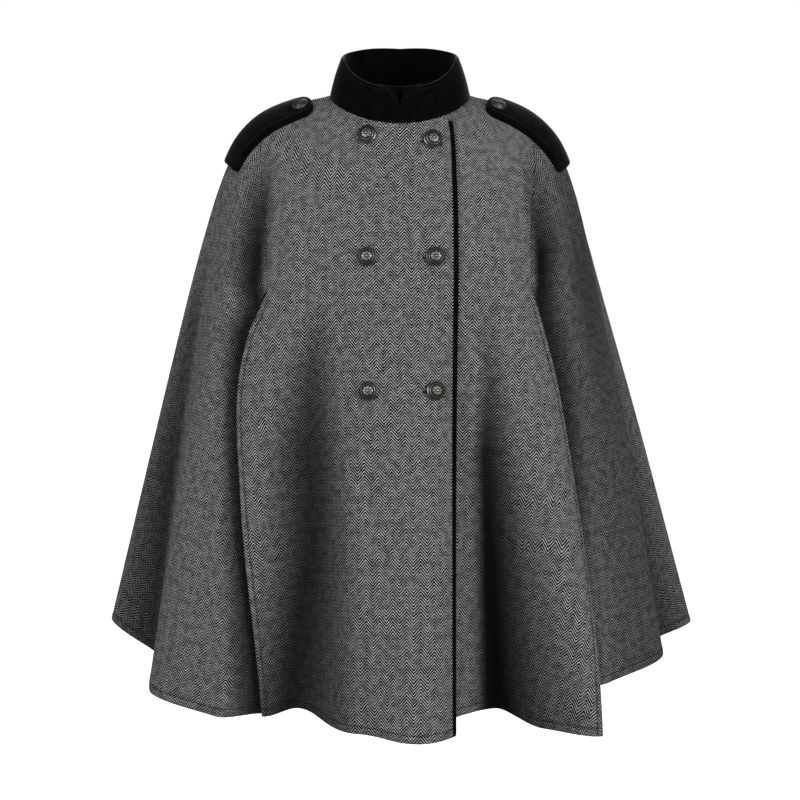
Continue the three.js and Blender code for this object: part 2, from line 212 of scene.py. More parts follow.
FOLDS = (
    Fold("centre back ridge", -180, 8, 0, 0.3),
    Fold("right back trough", -161, -34, 4, 0.34),
    Fold("right back ridge", -142, 6, -2, 0.26),
    Fold("right rear trough", -119, -44, 14, 0.3),
    Fold("right rear point", -97, 9, 41, 0.1),
    Fold("right side trough", -77, -48, 16, 0.13),
    Fold("right side point", -64, -24, -14, 0.2),
    Fold("right arm ridge", -42, -38, -15, 0.24),
    Fold("right slit trough", -32, -64, -12, 0.24),
    Fold("right front trough", -24, -88, -3, 0.2),
    Fold("right front ridge", -8, -8, 2, 0.25),
    Fold("centre front ridge", 0, 4, 0, 0.25),
    Fold("left front trough", 22, -78, 2, 0.25),
    Fold("left front slope", 29, -57, -9, 0.25),
    Fold("left front ridge", 38, -38, -10, 0.25),
    Fold("left arm trough", 55, -60, 3, 0.25),
    Fold("left side point", 80, -27, 11, 0.2),
    Fold("left side trough", 91, -34, 20, 0.15),
    Fold("left rear point", 103, 24, 30, 0.2),
    Fold("left rear trough", 122, -40, 6, 0.28),
    Fold("left back ridge", 143, 5, -2, 0.26),
    Fold("left back trough", 163, -30, 4, 0.36),
)

HOLLOWS = (
    Hollow("right seam", -48, 0.28, 13, 0.17, -7),
    Hollow("left seam", 48, 0.26, 12, 0.19, -7),
    Hollow("right shoulder blade", -150, 0.3, 20, 0.2, -4),
    Hollow("left shoulder blade", 154, 0.28, 20, 0.2, -4),
)

CREASES = (
    Crease("right chest drag", -30, 0.17, -20, 0.33, 17, -1.6),
    Crease("left chest drag", 33, 0.16, 25, 0.32, 18, -1.5),
    Crease("right collarbone", -38, 0.07, -16, 0.11, 13, -1.1),
    Crease("left collarbone", 40, 0.07, 20, 0.12, 13, -1.2),
    Crease("under the right buttons", -14, 0.36, -13, 0.56, 15, -1.5),
    Crease("right arm", -66, 0.3, -72, 0.55, 20, -2.6),
    Crease("right arm front", -54, 0.4, -55, 0.75, 18, -2.2),
    Crease("left arm", 67, 0.28, 73, 0.56, 20, -2.8),
    Crease("left arm front", 56, 0.42, 60, 0.8, 18, -2.4),
    Crease("left front hem", 31, 0.62, 30, 0.97, 14, -2.2),
    Crease("centre hem", 4, 0.68, 6, 1.0, 20, -2.0),
    Crease("right hem ridge", -4, 0.66, -7, 1.0, 16, 2.0),
    Crease("right back drag", -134, 0.16, -141, 0.36, 20, -2.4),
    Crease("left back drag", 133, 0.15, 139, 0.35, 20, -2.2),
    Crease("centre back", 178, 0.42, 182, 0.78, 24, -2.4),
    Crease("right back hem", -151, 0.62, -150, 0.98, 18, -2.4),
    Crease("left back hem", 152, 0.6, 150, 0.96, 18, -2.6),
    Crease("right rear hem", -108, 0.55, -108, 0.95, 16, -2.4),
    Crease("left rear hem", 112, 0.55, 111, 0.95, 16, -2.4),
    Crease("nape", 165, 0.05, 195, 0.05, 12, -1.2),
)

SHADOWS = (
    Shadow(
        "right front trough",
        ShadowRow(0.3, -23, 4, 5, 0.0),
        ShadowRow(0.42, -23.5, 10, 8, 0.68),
        ShadowRow(0.56, -23.5, 15, 13, 0.9),
        ShadowRow(0.75, -23, 13.5, 17, 0.92),
        ShadowRow(1, -26, 15, 26, 0.88),
    ),
    Shadow(
        "left front trough",
        ShadowRow(0.3, 26, 3, 5, 0.0),
        ShadowRow(0.42, 25.5, 3.5, 6, 0.5),
        ShadowRow(0.56, 22.5, 4.5, 10, 1.0),
        ShadowRow(0.75, 21.5, 4.4, 14, 1.07),
        ShadowRow(1, 20.5, 4.8, 18, 1.07),
    ),
    Shadow(
        "right seam",
        ShadowRow(0.12, -58, 7, 8, 0.0),
        ShadowRow(0.2, -51.5, 13, 8, 0.82),
        ShadowRow(0.28, -48, 17, 6, 1.02),
        ShadowRow(0.33, -46.5, 16, 4.5, 0.97),
        ShadowRow(0.38, -47, 7, 3, 0.0),
    ),
    Shadow(
        "right slit",
        ShadowRow(0.31, -46, 8, 6, 0.0),
        ShadowRow(0.34, -44.5, 10, 6, 0.86),
        ShadowRow(0.4, -49, 10, 6, 0.94),
        ShadowRow(0.5, -48, 9, 6, 0.94),
        ShadowRow(0.66, -42.5, 8, 6, 0.94),
        ShadowRow(0.83, -37.5, 7, 6, 0.93),
        ShadowRow(1, -33.5, 7, 6, 0.92),
        on="side_right_cloth",
    ),
    Shadow(
        "left seam",
        ShadowRow(0.12, 59, 7, 7, 0.0),
        ShadowRow(0.2, 53, 7, 12, 0.7),
        ShadowRow(0.28, 49.5, 5.5, 15, 1.05),
        ShadowRow(0.34, 46.5, 4, 13, 1.0),
        ShadowRow(0.42, 48, 3, 8, 0.0),
    ),
    Shadow(
        "left slit",
        ShadowRow(0.31, 47, 4, 10, 0.0),
        ShadowRow(0.35, 46, 5, 12, 0.86),
        ShadowRow(0.4, 47, 5, 13, 0.93),
        ShadowRow(0.5, 47.5, 5, 14, 0.95),
        ShadowRow(0.66, 46, 5, 14, 0.96),
        ShadowRow(0.83, 43, 5, 14, 0.95),
        ShadowRow(1, 39, 5, 15, 0.94),
        on="side_left_cloth",
    ),
    Shadow(
        "left arm, turned from the light",
        ShadowRow(0.1, 78, 24, 24, 0.0),
        ShadowRow(0.2, 75, 24, 26, 0.5),
        ShadowRow(0.36, 72, 26, 28, 0.72),
        ShadowRow(0.7, 74, 30, 28, 0.5),
        ShadowRow(1, 76, 34, 28, 0.46),
    ),
    Shadow(
        "right side trough",
        ShadowRow(0.3, -80, 6, 5, 0.0),
        ShadowRow(0.45, -82, 12, 6, 0.6),
        ShadowRow(0.7, -82, 16, 7, 0.82),
        ShadowRow(1, -80, 18, 8, 0.82),
    ),
    Shadow(
        "left side trough",
        ShadowRow(0.3, 88, 5, 6, 0.0),
        ShadowRow(0.55, 90, 5, 10, 0.5),
        ShadowRow(1, 92, 6, 12, 0.72),
    ),
    Shadow(
        "right rear trough",
        ShadowRow(0.3, -119, 8, 8, 0.0),
        ShadowRow(0.6, -119, 11, 11, 0.6),
        ShadowRow(1, -119, 14, 12, 0.8),
    ),
    Shadow(
        "right back trough",
        ShadowRow(0.34, -161, 6, 6, 0.0),
        ShadowRow(0.62, -161, 8, 9, 0.55),
        ShadowRow(1, -161, 10, 12, 0.75),
    ),
    Shadow(
        "left back trough",
        ShadowRow(0.36, 163, 6, 6, 0.0),
        ShadowRow(0.64, 163, 9, 8, 0.5),
        ShadowRow(1, 163, 12, 10, 0.72),
    ),
    Shadow(
        "left rear trough",
        ShadowRow(0.28, 122, 7, 7, 0.0),
        ShadowRow(0.6, 122, 10, 11, 0.6),
        ShadowRow(1, 122, 12, 14, 0.8),
    ),
)

SLITS = {
    Hand.RIGHT: (
        SlitRow(0.32, 41.6, 0, 0),
        SlitRow(0.335, 42.4, -0.9, 2.5),
        SlitRow(0.36, 43.8, -0.2, 8),
        SlitRow(0.4, 46, 3, 15),
        SlitRow(0.5, 46.7, 4.4, 25),
        SlitRow(0.66, 41.2, 4.4, 27),
        SlitRow(0.83, 36.1, 4.2, 21),
        SlitRow(1, 32, 4, 13),
    ),
    Hand.LEFT: (
        SlitRow(0.32, 43.4, 0, 0),
        SlitRow(0.335, 43.8, -0.6, 3),
        SlitRow(0.36, 44.4, -0.2, 8),
        SlitRow(0.4, 44.9, 1.6, 16),
        SlitRow(0.5, 45.9, 3, 28),
        SlitRow(0.66, 44.3, 2.6, 36),
        SlitRow(0.83, 41.3, 0, 42),
        SlitRow(1, 37.5, -5, 40),
    ),
}

FRONT_RIGHT_HEM = Flap(10.5, 15, 32, 0.3)
FRONT_LEFT_HEM = Flap(9, 13, -18, 0.3)
FRONT_LEFT_SLIT = Flap(38, 17, 74, 0.33)


class Curve:
    """A smooth curve through the values of one column, along another."""

    def __init__(self, at: Sequence[float], values: Sequence[float]) -> None:
        """Sets up the curve.

        Args:
            at: Where the values stand, rising.
            values: The value at each place.
        """
        self.at = np.asarray(at, float)
        self.values = np.asarray(values, float)
        last = len(self.at) - 1
        before = np.maximum(np.arange(last + 1) - 1, 0)
        after = np.minimum(np.arange(last + 1) + 1, last)
        rise = self.values[after] - self.values[before]
        self.slopes = rise / (self.at[after] - self.at[before])

    def __call__(self, place: Array) -> Array:
        """Reads the curve.

        Args:
            place: Where to read it.

        Returns:
            The values there.
        """
        i = np.clip(np.searchsorted(self.at, place, "right") - 1, 0, len(self.at) - 2)
        span = self.at[i + 1] - self.at[i]
        t = (place - self.at[i]) / span
        bend = t * t * (3 - 2 * t)
        ends = self.values[i] * (1 - bend) + self.values[i + 1] * bend
        lean_in = self.slopes[i] * t * (1 - t) ** 2
        lean_out = self.slopes[i + 1] * t * t * (1 - t)
        return ends + span * (lean_in - lean_out)


def column(rows: Sequence[Any], key: str) -> Curve:
    """Makes a curve of one field of a table whose rows have a down.

    Args:
        rows: The table.
        key: The field's name.

    Returns:
        The curve of that field along down.
    """
    return Curve([row.down for row in rows], [getattr(row, key) for row in rows])


def bump(distance: Array, reach: float) -> Array:
    """A rounded bump: 1 at no distance, 0 from reach on."""
    t = np.minimum(1, np.abs(distance) / reach)
    return (1 - t * t) ** 2


def smooth(t: Array) -> Array:
    """Goes smoothly from 0 at 0 to 1 at 1."""
    t = np.clip(t, 0, 1)
    return t * t * (3 - 2 * t)


def unit(vectors: Array) -> Array:
    """Vectors of length 1 along the given ones."""
    return vectors / np.linalg.norm(vectors, axis=-1, keepdims=True)


def wrapped(turn: Array) -> Array:
    """A turn in radians as degrees from -180 to 180."""
    return (np.degrees(turn) + 180) % 360 - 180


def last_holding(test: Callable[[Array], bool]) -> float:
    """Halves the range from 0 to 1 down to the place where a test stops holding.

    Args:
        test: The test, which holds from 0 up to that place.

    Returns:
        The place.
    """
    low, high = 0.0, 1.0
    for _ in range(HALVINGS):
        middle = (low + high) / 2
        if test(np.array(middle)):
            low = middle
        else:
            high = middle
    return low


def normals_of(surface: Surface, turn: Array, down: Array) -> Array:
    """Finds a surface's outward normals.

    Args:
        surface: The surface, as a function of turn and down.
        turn: Turns in radians.
        down: Downs.

    Returns:
        A unit normal for each place.
    """
    along = surface(turn, down + PROBE) - surface(turn, down - PROBE)
    across = surface(turn + PROBE, down) - surface(turn - PROBE, down)
    return unit(np.cross(along, across))


def ring_speed(surface: Surface, turn: Array, down: Array) -> Array:
    """The millimetres that a surface runs along its ring for each radian."""
    ahead, behind = surface(turn + PROBE, down), surface(turn - PROBE, down)
    return np.linalg.norm(ahead - behind, axis=-1) / (2 * PROBE)


@dataclass
class Hang:
    """The cape's shared shape, before any layer swings away from it."""

    shoulder_pitch: float = 1.55
    fold_growth: float = 1.2
    degree_length: float = 3.6
    down_length: float = 700
    crease_fade: float = 2.5
    rings: dict[str, Curve] = field(init=False)

    def __post_init__(self) -> None:
        """Makes the curves of the rings' sizes."""
        keys = ("side", "front", "back", "z_front", "z_side", "z_back", "lean")
        self.rings = {key: column(RINGS, key) for key in keys}

    def growth(self, down: Array, start: Array) -> Array:
        """How much of its full size a fold that begins at start has at a down."""
        return np.maximum(0, (down - start) / (1 - start)) ** self.fold_growth

    def folds(self, turn: Array, down: Array) -> tuple[Array, Array]:
        """Reads the folds at places on the hang.

        Args:
            turn: Turns in radians.
            down: Downs.

        Returns:
            How far the cloth stands out there, and how far it is lifted.
        """
        degrees = wrapped(turn)
        turns = np.array([f.turn for f in FOLDS] + [FOLDS[0].turn + 360])
        i = np.clip(np.searchsorted(turns, degrees, "right") - 1, 0, len(FOLDS) - 1)
        share = (1 - np.cos(np.pi * (degrees - turns[i]) / (turns[i + 1] - turns[i]))) / 2
        starts = np.array([f.start for f in FOLDS] + [FOLDS[0].start])

        def between(key: str) -> Array:
            """Reads one of the folds' sizes.

            Args:
                key: The size's name.

            Returns:
                The size at each place.
            """
            sizes = np.array([getattr(f, key) for f in FOLDS] + [getattr(FOLDS[0], key)])
            low = sizes[i] * self.growth(down, starts[i])
            high = sizes[i + 1] * self.growth(down, starts[i + 1])
            return low * (1 - share) + high * share

        return between("out"), between("lift")

    def relief(self, turn: Array, down: Array) -> Array:
        """Reads the hollows and creases.

        Args:
            turn: Turns in radians.
            down: Downs.

        Returns:
            How far they move the cloth outwards.
        """
        degrees = wrapped(turn)
        out = np.zeros(np.broadcast(turn, down).shape)
        for h in HOLLOWS:
            out = out + h.out * bump(degrees - h.turn, h.reach) * bump(down - h.down, h.span)
        for c in CREASES:
            side_step = (degrees - c.from_turn + 180) % 360 - 180
            x, y = side_step * self.degree_length, (down - c.from_down) * self.down_length
            run_x = (c.to_turn - c.from_turn) * self.degree_length
            run_y = (c.to_down - c.from_down) * self.down_length
            length = math.hypot(run_x, run_y)
            along = (x * run_x + y * run_y) / length
            across = (x * run_y - y * run_x) / length
            fade = smooth((along + c.width) / (self.crease_fade * c.width))
            fade = fade * smooth((length + c.width - along) / (self.crease_fade * c.width))
            out = out + c.out * fade * ridge(across, 0, c.width)
        return out

    def shade(self, piece: str, turn: Array, down: Array) -> Array:
        """Adds up the shadows that lie on a piece.

        Args:
            piece: The piece's name.
            turn: Turns in radians.
            down: Downs.

        Returns:
            How dark the folds' shade is at each place, with 0 for none.
        """
        light = np.ones(np.broadcast(turn, down).shape)
        for shadow in SHADOWS:
            if shadow.on in ("", piece):
                light = light * (1 - shadow.at(wrapped(turn), down))
        return 1 - light

    def at(self, turn: Array, down: Array, moved: Array | float = 0) -> Array:
        """Finds places on the hang.

        Args:
            turn: Turns in radians.
            down: Downs.
            moved: How far each place is moved outwards from it.

        Returns:
            A point for each place.
        """
        s, c = np.sin(turn), np.cos(turn)
        r = {key: curve(down) for key, curve in self.rings.items()}
        depth = np.where(c > 0, r["front"], r["back"])
        z_end = np.where(c > 0, r["z_front"], r["z_back"])
        outward = unit(np.stack([s / r["side"], -c / depth, 0 * s * down], -1))
        out, lift = self.folds(turn, down)
        share = np.abs(c) ** self.shoulder_pitch
        z = r["z_side"] + (z_end - r["z_side"]) * share + lift
        base = np.stack([r["side"] * s + r["lean"], -depth * c, z], -1)
        return base + outward * (out + self.relief(turn, down) + moved)[..., None]

    def turn_of_x(self, x: Array | float, down: Array) -> Array:
        """The turn in radians at which the front has a given X, at a down."""
        share = (x - self.rings["lean"](down)) / self.rings["side"](down)
        return np.arcsin(np.minimum(1, share))

    def down_of_side(self, width: float) -> float:
        """Finds the down at which the rings reach a half width.

        Args:
            width: The half width in millimetres.

        Returns:
            The down.
        """
        return last_holding(lambda down: bool(self.rings["side"](down) < width))


@dataclass
class Cut:
    """Where the cape is cut into pieces, and how its layers lie over each other."""

    hang: Hang
    cloth: float = 2.4
    layer_gap: float = 1.0
    seam_start_width: float = 158
    slit_top: float = 0.32
    slit_reach: float = 13
    underlap_edge: float = -47
    piping_width: float = 5.6
    under_piping: float = 2
    emerging_width: float = 32
    front_edge: Curve = field(
        default_factory=lambda: Curve((0, 0.03, 0.12, 0.3, 1), (53, 57, 60, 61, 59.5))
    )
    side_seams: dict[Hand, tuple[float, float]] = field(
        default_factory=lambda: {Hand.RIGHT: (-90, -79), Hand.LEFT: (90, 91)}
    )
    seam_start: float = field(init=False)
    side_top: float = field(init=False)
    slits: dict[Hand, dict[str, Curve]] = field(init=False)

    def __post_init__(self) -> None:
        """Works out where the front seams start, and the slits' curves."""
        self.seam_start = self.hang.down_of_side(self.seam_start_width)
        self.side_top = self.seam_start + 0.004
        self.slits = {
            hand: {key: column(rows, key) for key in ("edge", "under", "sink")}
            for hand, rows in SLITS.items()
        }

    def front_seam(self, hand: Hand, down: Array) -> Array:
        """The seam between a front and its side piece, and the slit below it.

        Args:
            hand: The side.
            down: Downs.

        Returns:
            Its turn in radians at each down, without the side's sign.
        """
        side = self.hang.rings["side"]
        first = self.slits[hand]["edge"](np.array(self.slit_top))
        slit_width = side(np.array(self.slit_top)) * np.sin(np.radians(first))
        share = (down - self.seam_start) / (self.slit_top - self.seam_start)
        width = self.seam_start_width + (slit_width - self.seam_start_width) * share
        seam = np.arcsin(np.clip(width / side(down), -1, 1))
        seam = np.where(down <= self.seam_start, np.pi / 2, seam)
        slit = np.radians(self.slits[hand]["edge"](down))
        return np.where(down >= self.slit_top, slit, seam)

    def side_edge(self, hand: Hand, down: Array) -> Array:
        """The side piece's own edge at that seam and slit, as front_seam."""
        under = np.radians(self.slits[hand]["under"](down))
        return self.front_seam(hand, down) - np.where(down > self.slit_top, under, 0)

    def side_seam(self, hand: Hand, down: Array) -> Array:
        """The side seam's turn in radians, with its sign."""
        top, hem = self.side_seams[hand]
        return np.radians(top + (hem - top) * np.maximum(0, down - self.side_top))

    def flap(self, shape: Flap, turn: Array, down: Array) -> Array:
        """How far a flap stands out at each place."""
        size = shape.out * self.hang.growth(down, shape.start)
        return size * bump(turn - math.radians(shape.turn), math.radians(shape.reach))

    def front_right(self, turn: Array, down: Array) -> Array:
        """The right front's outer face."""
        return self.hang.at(turn, down, self.flap(FRONT_RIGHT_HEM, turn, down))

    def front_left(self, turn: Array, down: Array) -> Array:
        """The left front's outer face, sunk where it lies under the right front.

        Args:
            turn: Turns in radians.
            down: Downs.

        Returns:
            A point for each place.
        """
        rings = self.hang.rings
        x = rings["side"](down) * np.sin(turn) + rings["lean"](down)
        past_edge = x - self.front_edge(down) - self.piping_width - self.under_piping
        emerging = smooth(past_edge / self.emerging_width)
        sunk = (self.cloth + self.layer_gap) * (1 - emerging)
        moved = self.flap(FRONT_LEFT_HEM, turn, down) + self.flap(FRONT_LEFT_SLIT, turn, down)
        face = self.hang.at(turn, down, moved)
        return face - normals_of(self.hang.at, turn, down) * sunk[..., None]

    def side(self, hand: Hand, turn: Array, down: Array) -> Array:
        """A side piece's outer face, sunk behind the front below the slit's top.

        Args:
            hand: The side.
            turn: Turns in radians.
            down: Downs.

        Returns:
            A point for each place.
        """
        slit = self.slits[hand]
        edge = np.radians(slit["edge"](down) - slit["under"](down))
        beyond = np.maximum(0, np.abs(turn) - edge)
        sink = slit["sink"](down) * bump(beyond, math.radians(self.slit_reach))
        return self.hang.at(turn, down, np.where(down <= self.slit_top, 0, -sink))


# ------------------------------------------------------------------------ meshes


@dataclass
class SheetMesh:
    """A closed mesh from the two faces of a sheet, which share their border."""

    name: str
    outer: Array
    inner: Array
    weave: Array
    marks: dict[str, tuple[Array, Array]] = field(default_factory=dict)

    def build(self) -> bpy.types.Object:
        """Makes the object, smooth shaded and with the weave's map in millimetres.

        Returns:
            The new object.
        """
        rows, columns = self.outer.shape[:2]
        front = np.arange(rows * columns).reshape(rows, columns)
        border = np.zeros((rows, columns), bool)
        border[[0, -1], :] = border[:, [0, -1]] = True
        back = np.where(border, front, front + rows * columns)
        quads = [self.quads(front), self.quads(back)[:, ::-1]]
        faces = np.concatenate(quads)
        used, faces = np.unique(faces, return_inverse=True)
        points = np.concatenate([self.outer.reshape(-1, 3), self.inner.reshape(-1, 3)])
        weave = np.concatenate([self.weave.reshape(-1, 2)] * 2)
        thing = make_object(self.name, points[used], faces.reshape(-1, 4), weave[used])
        for name, (on_outer, on_inner) in self.marks.items():
            mark(thing, name, np.concatenate([on_outer.ravel(), on_inner.ravel()])[used])
        return thing

    @staticmethod
    def quads(index: Array) -> Array:
        """The faces between the points of a grid, turned outwards."""
        corners = (index[:-1, :-1], index[1:, :-1], index[1:, 1:], index[:-1, 1:])
        return np.stack(corners, -1).reshape(-1, 4)


def mark(thing: bpy.types.Object, name: str, values: Array) -> None:
    """Stores a number for each point of an object, for its material to read."""
    layer = thing.data.attributes.new(name, "FLOAT", "POINT")
    layer.data.foreach_set("value", values.astype(np.float32).ravel())


def make_object(name: str, points: Array, faces: Array, weave: Array) -> bpy.types.Object:
    """Makes a smooth shaded mesh object of quads.

    Args:
        name: The object's name.
        points: Its points in millimetres.
        faces: Its faces, as four point numbers each.
        weave: A map place in millimetres for each point.

    Returns:
        The new object, in the scene.
    """
    mesh = bpy.data.meshes.new(name)
    mesh.vertices.add(len(points))
    mesh.vertices.foreach_set("co", (points * MM).astype(np.float32).ravel())
    mesh.loops.add(faces.size)
    mesh.loops.foreach_set("vertex_index", faces.astype(np.int32).ravel())
    mesh.polygons.add(len(faces))
    mesh.polygons.foreach_set("loop_start", np.arange(0, faces.size, 4, dtype=np.int32))
    mesh.polygons.foreach_set("use_smooth", np.ones(len(faces), bool))
    mesh.update(calc_edges=True)
    layer = mesh.uv_layers.new(name=WEAVE_MAP)
    layer.data.foreach_set("uv", weave[faces.ravel()].astype(np.float32).ravel())
    mesh.validate()
    thing = bpy.data.objects.new(name, mesh)
    bpy.context.scene.collection.objects.link(thing)
    return thing


def round_over(distance: Array, radius: float) -> Array:
    """How far a rounded edge falls away at a distance from the edge."""
    t = 1 - np.clip(distance / radius, 0, 1)
    return radius * (1 - np.sqrt(np.maximum(0, 1 - t * t)))


def ridge(share: Array, at: float, width: float, power: int = 2) -> Array:
    """A smooth ridge that is 1 at a place and falls to nothing on both sides."""
    return np.exp(-(((share - at) / width) ** power))


def groove(distance: Array, at: float, depth: float, width: float = 0.9) -> Array:
    """The dent that a row of stitches leaves at a distance from an edge."""
    return depth * ridge(distance, at, width)


def area_of(points: Array) -> float:
    """The area of a grid of points in millimetres, in square metres."""
    along, across = np.diff(points, axis=0)[:, :-1], np.diff(points, axis=1)[:-1]
    return float(np.linalg.norm(np.cross(along, across), axis=-1).sum() * MM * MM)


@dataclass(frozen=True)
class Thread:
    """Sewing thread, laid in stitches on the cape."""

    length: float = 2.7
    gap: float = 1.0
    radius: float = 0.3
    sides: int = 6
    map_turn: float = 0.3
    reach: float = 0.5
    profile_along: tuple[float, ...] = (-1, -0.75, 0, 0.75, 1)
    profile_thick: tuple[float, ...] = (0.15, 0.85, 1, 0.85, 0.15)
    profile_rise: tuple[float, ...] = (-0.9, 0.2, 0.5, 0.2, -0.9)

    def spaced(self, line: Array, normals: Array) -> tuple[Array, Array, Array]:
        """Spaces stitches evenly along a line.

        Args:
            line: Points along it in millimetres.
            normals: The cloth's outward normal at each point.

        Returns:
            The stitches' middles, directions and normals.
        """
        steps = np.linalg.norm(np.diff(line, axis=0), axis=1)
        travelled = np.concatenate([[0], np.cumsum(steps)])
        pitch = self.length + self.gap
        middles = np.arange(pitch, travelled[-1] - pitch / 2, pitch)

        def read(values: Array, at: Array) -> Array:
            """The values at distances along the line."""
            return np.stack([np.interp(at, travelled, values[:, k]) for k in range(3)], -1)

        ways = unit(read(line, middles + self.reach) - read(line, middles - self.reach))
        return read(line, middles), ways, unit(read(normals, middles))

    def sew(self, name: str, lines: Sequence[tuple[Array, Array]]) -> bpy.types.Object:
        """Makes rows of stitches.

        Args:
            name: The object's name.
            lines: For each row, points along it and the normals there.

        Returns:
            The stitches' object.
        """
        rows = [self.spaced(*line) for line in lines]
        return self.build(name, *(np.concatenate(parts) for parts in zip(*rows)))

    def build(self, name: str, middles: Array, ways: Array, normals: Array) -> bpy.types.Object:
        """Makes stitches as one mesh.

        Args:
            name: The object's name.
            middles: The middle of each stitch in millimetres.
            ways: The direction in which each runs.
            normals: The cloth's outward normal at each.

        Returns:
            The object, in which each stitch dips into the cloth at its ends.
        """
        along = np.array(self.profile_along) * self.length / 2
        thick = np.array(self.profile_thick) * self.radius
        rise = np.array(self.profile_rise) * self.radius
        angle = np.linspace(0, 2 * np.pi, self.sides, endpoint=False)
        sideways = np.cross(normals, ways)
        up = rise[:, None] + thick[:, None] * np.sin(angle)
        out = thick[:, None] * np.cos(angle)
        points = (
            (middles[:, None] + ways[:, None] * along[:, None])[:, :, None]
            + normals[:, None, None] * up[..., None]
            + sideways[:, None, None] * out[..., None]
        )
        index = np.arange(points[..., 0].size).reshape(points.shape[:3])
        index = np.concatenate([index, index[:, :, :1]], axis=2)
        corners = (index[:, :-1, :-1], index[:, :-1, 1:], index[:, 1:, 1:], index[:, 1:, :-1])
        faces = np.stack(corners, -1).reshape(-1, 4)
        twist = np.stack(np.meshgrid(angle * self.map_turn, along), -1)
        weave = np.broadcast_to(twist, points.shape[:3] + (2,))
        return make_object(name, points.reshape(-1, 3), faces, weave.reshape(-1, 2))


FELT_THREAD = Thread(radius=0.28)


@dataclass
class Layout:
    """A surface laid out flat, so that its weave runs along the grain line."""

    surface: Surface
    grain: float
    first: float
    last: float
    top: float
    columns: int = 241
    rows: int = 241
    turns: Array = field(init=False)
    flat: Array = field(init=False)

    def __post_init__(self) -> None:
        """Measures the surface on an even grid, from the grain line outwards."""
        self.turns = np.linspace(self.first, self.last, self.columns)
        downs = np.linspace(self.top, 1, self.rows)
        points = self.surface(*np.meshgrid(self.turns, downs))
        ring_step = np.linalg.norm(np.diff(points, axis=1), axis=-1)
        across = self.from_grain(ring_step)
        ring_way = unit(np.gradient(points, axis=1))
        down_way = np.gradient(points, axis=0)
        sideways = np.sum(down_way * ring_way, axis=-1)
        drop = np.linalg.norm(down_way - ring_way * sideways[..., None], axis=-1)
        spread = (np.gradient(across, axis=0) - sideways) / drop
        lift = self.from_grain((spread[:, 1:] + spread[:, :-1]) / 2 * ring_step)
        grain_drop = np.array([np.interp(self.grain, self.turns, row) for row in drop])
        steps = (grain_drop[1:] + grain_drop[:-1]) / 2
        along = np.concatenate([[0], np.cumsum(steps)])
        self.flat = np.stack([across, along[:, None] - lift], -1)

    def from_grain(self, steps: Array) -> Array:
        """Adds steps along each ring up, from the grain line.

        Args:
            steps: The steps between the columns of the grid.

        Returns:
            The sum at each column, which is 0 on the grain line.
        """
        total = np.concatenate([np.zeros((len(steps), 1)), np.cumsum(steps, axis=1)], axis=1)
        start = np.array([np.interp(self.grain, self.turns, row) for row in total])
        return total - start[:, None]

    def at(self, turn: Array, down: Array) -> Array:
        """Reads where places are on the flat piece.

        Args:
            turn: Turns in radians.
            down: Downs.

        Returns:
            How far each is across and along the grain, in millimetres.
        """
        u = (turn - self.first) / (self.last - self.first) * (self.columns - 1)
        v = (down - self.top) / (1 - self.top) * (self.rows - 1)
        i = np.clip(np.floor(u).astype(int), 0, self.columns - 2)
        j = np.clip(np.floor(v).astype(int), 0, self.rows - 2)
        u, v = (u - i)[..., None], (v - j)[..., None]
        upper = self.flat[j, i] * (1 - u) + self.flat[j, i + 1] * u
        lower = self.flat[j + 1, i] * (1 - u) + self.flat[j + 1, i + 1] * u
        return upper * (1 - v) + lower * v


# Millimetres from an edge to the mesh's lines on its rolled border.
ROLL = (0, 0.12, 0.4, 0.8, 1.25)


class Border(Enum):
    """How a piece's border is finished: the mesh's lines near it, in millimetres."""

    SEAM = ROLL + (2.4,)
    SLIT = ROLL + (3, 5, 6, 6.6, 7.2, 8, 10)
    HEM = ROLL + (3, 5.5, 7.6, 8.4, 9, 9.6, 10.4, 12.5)


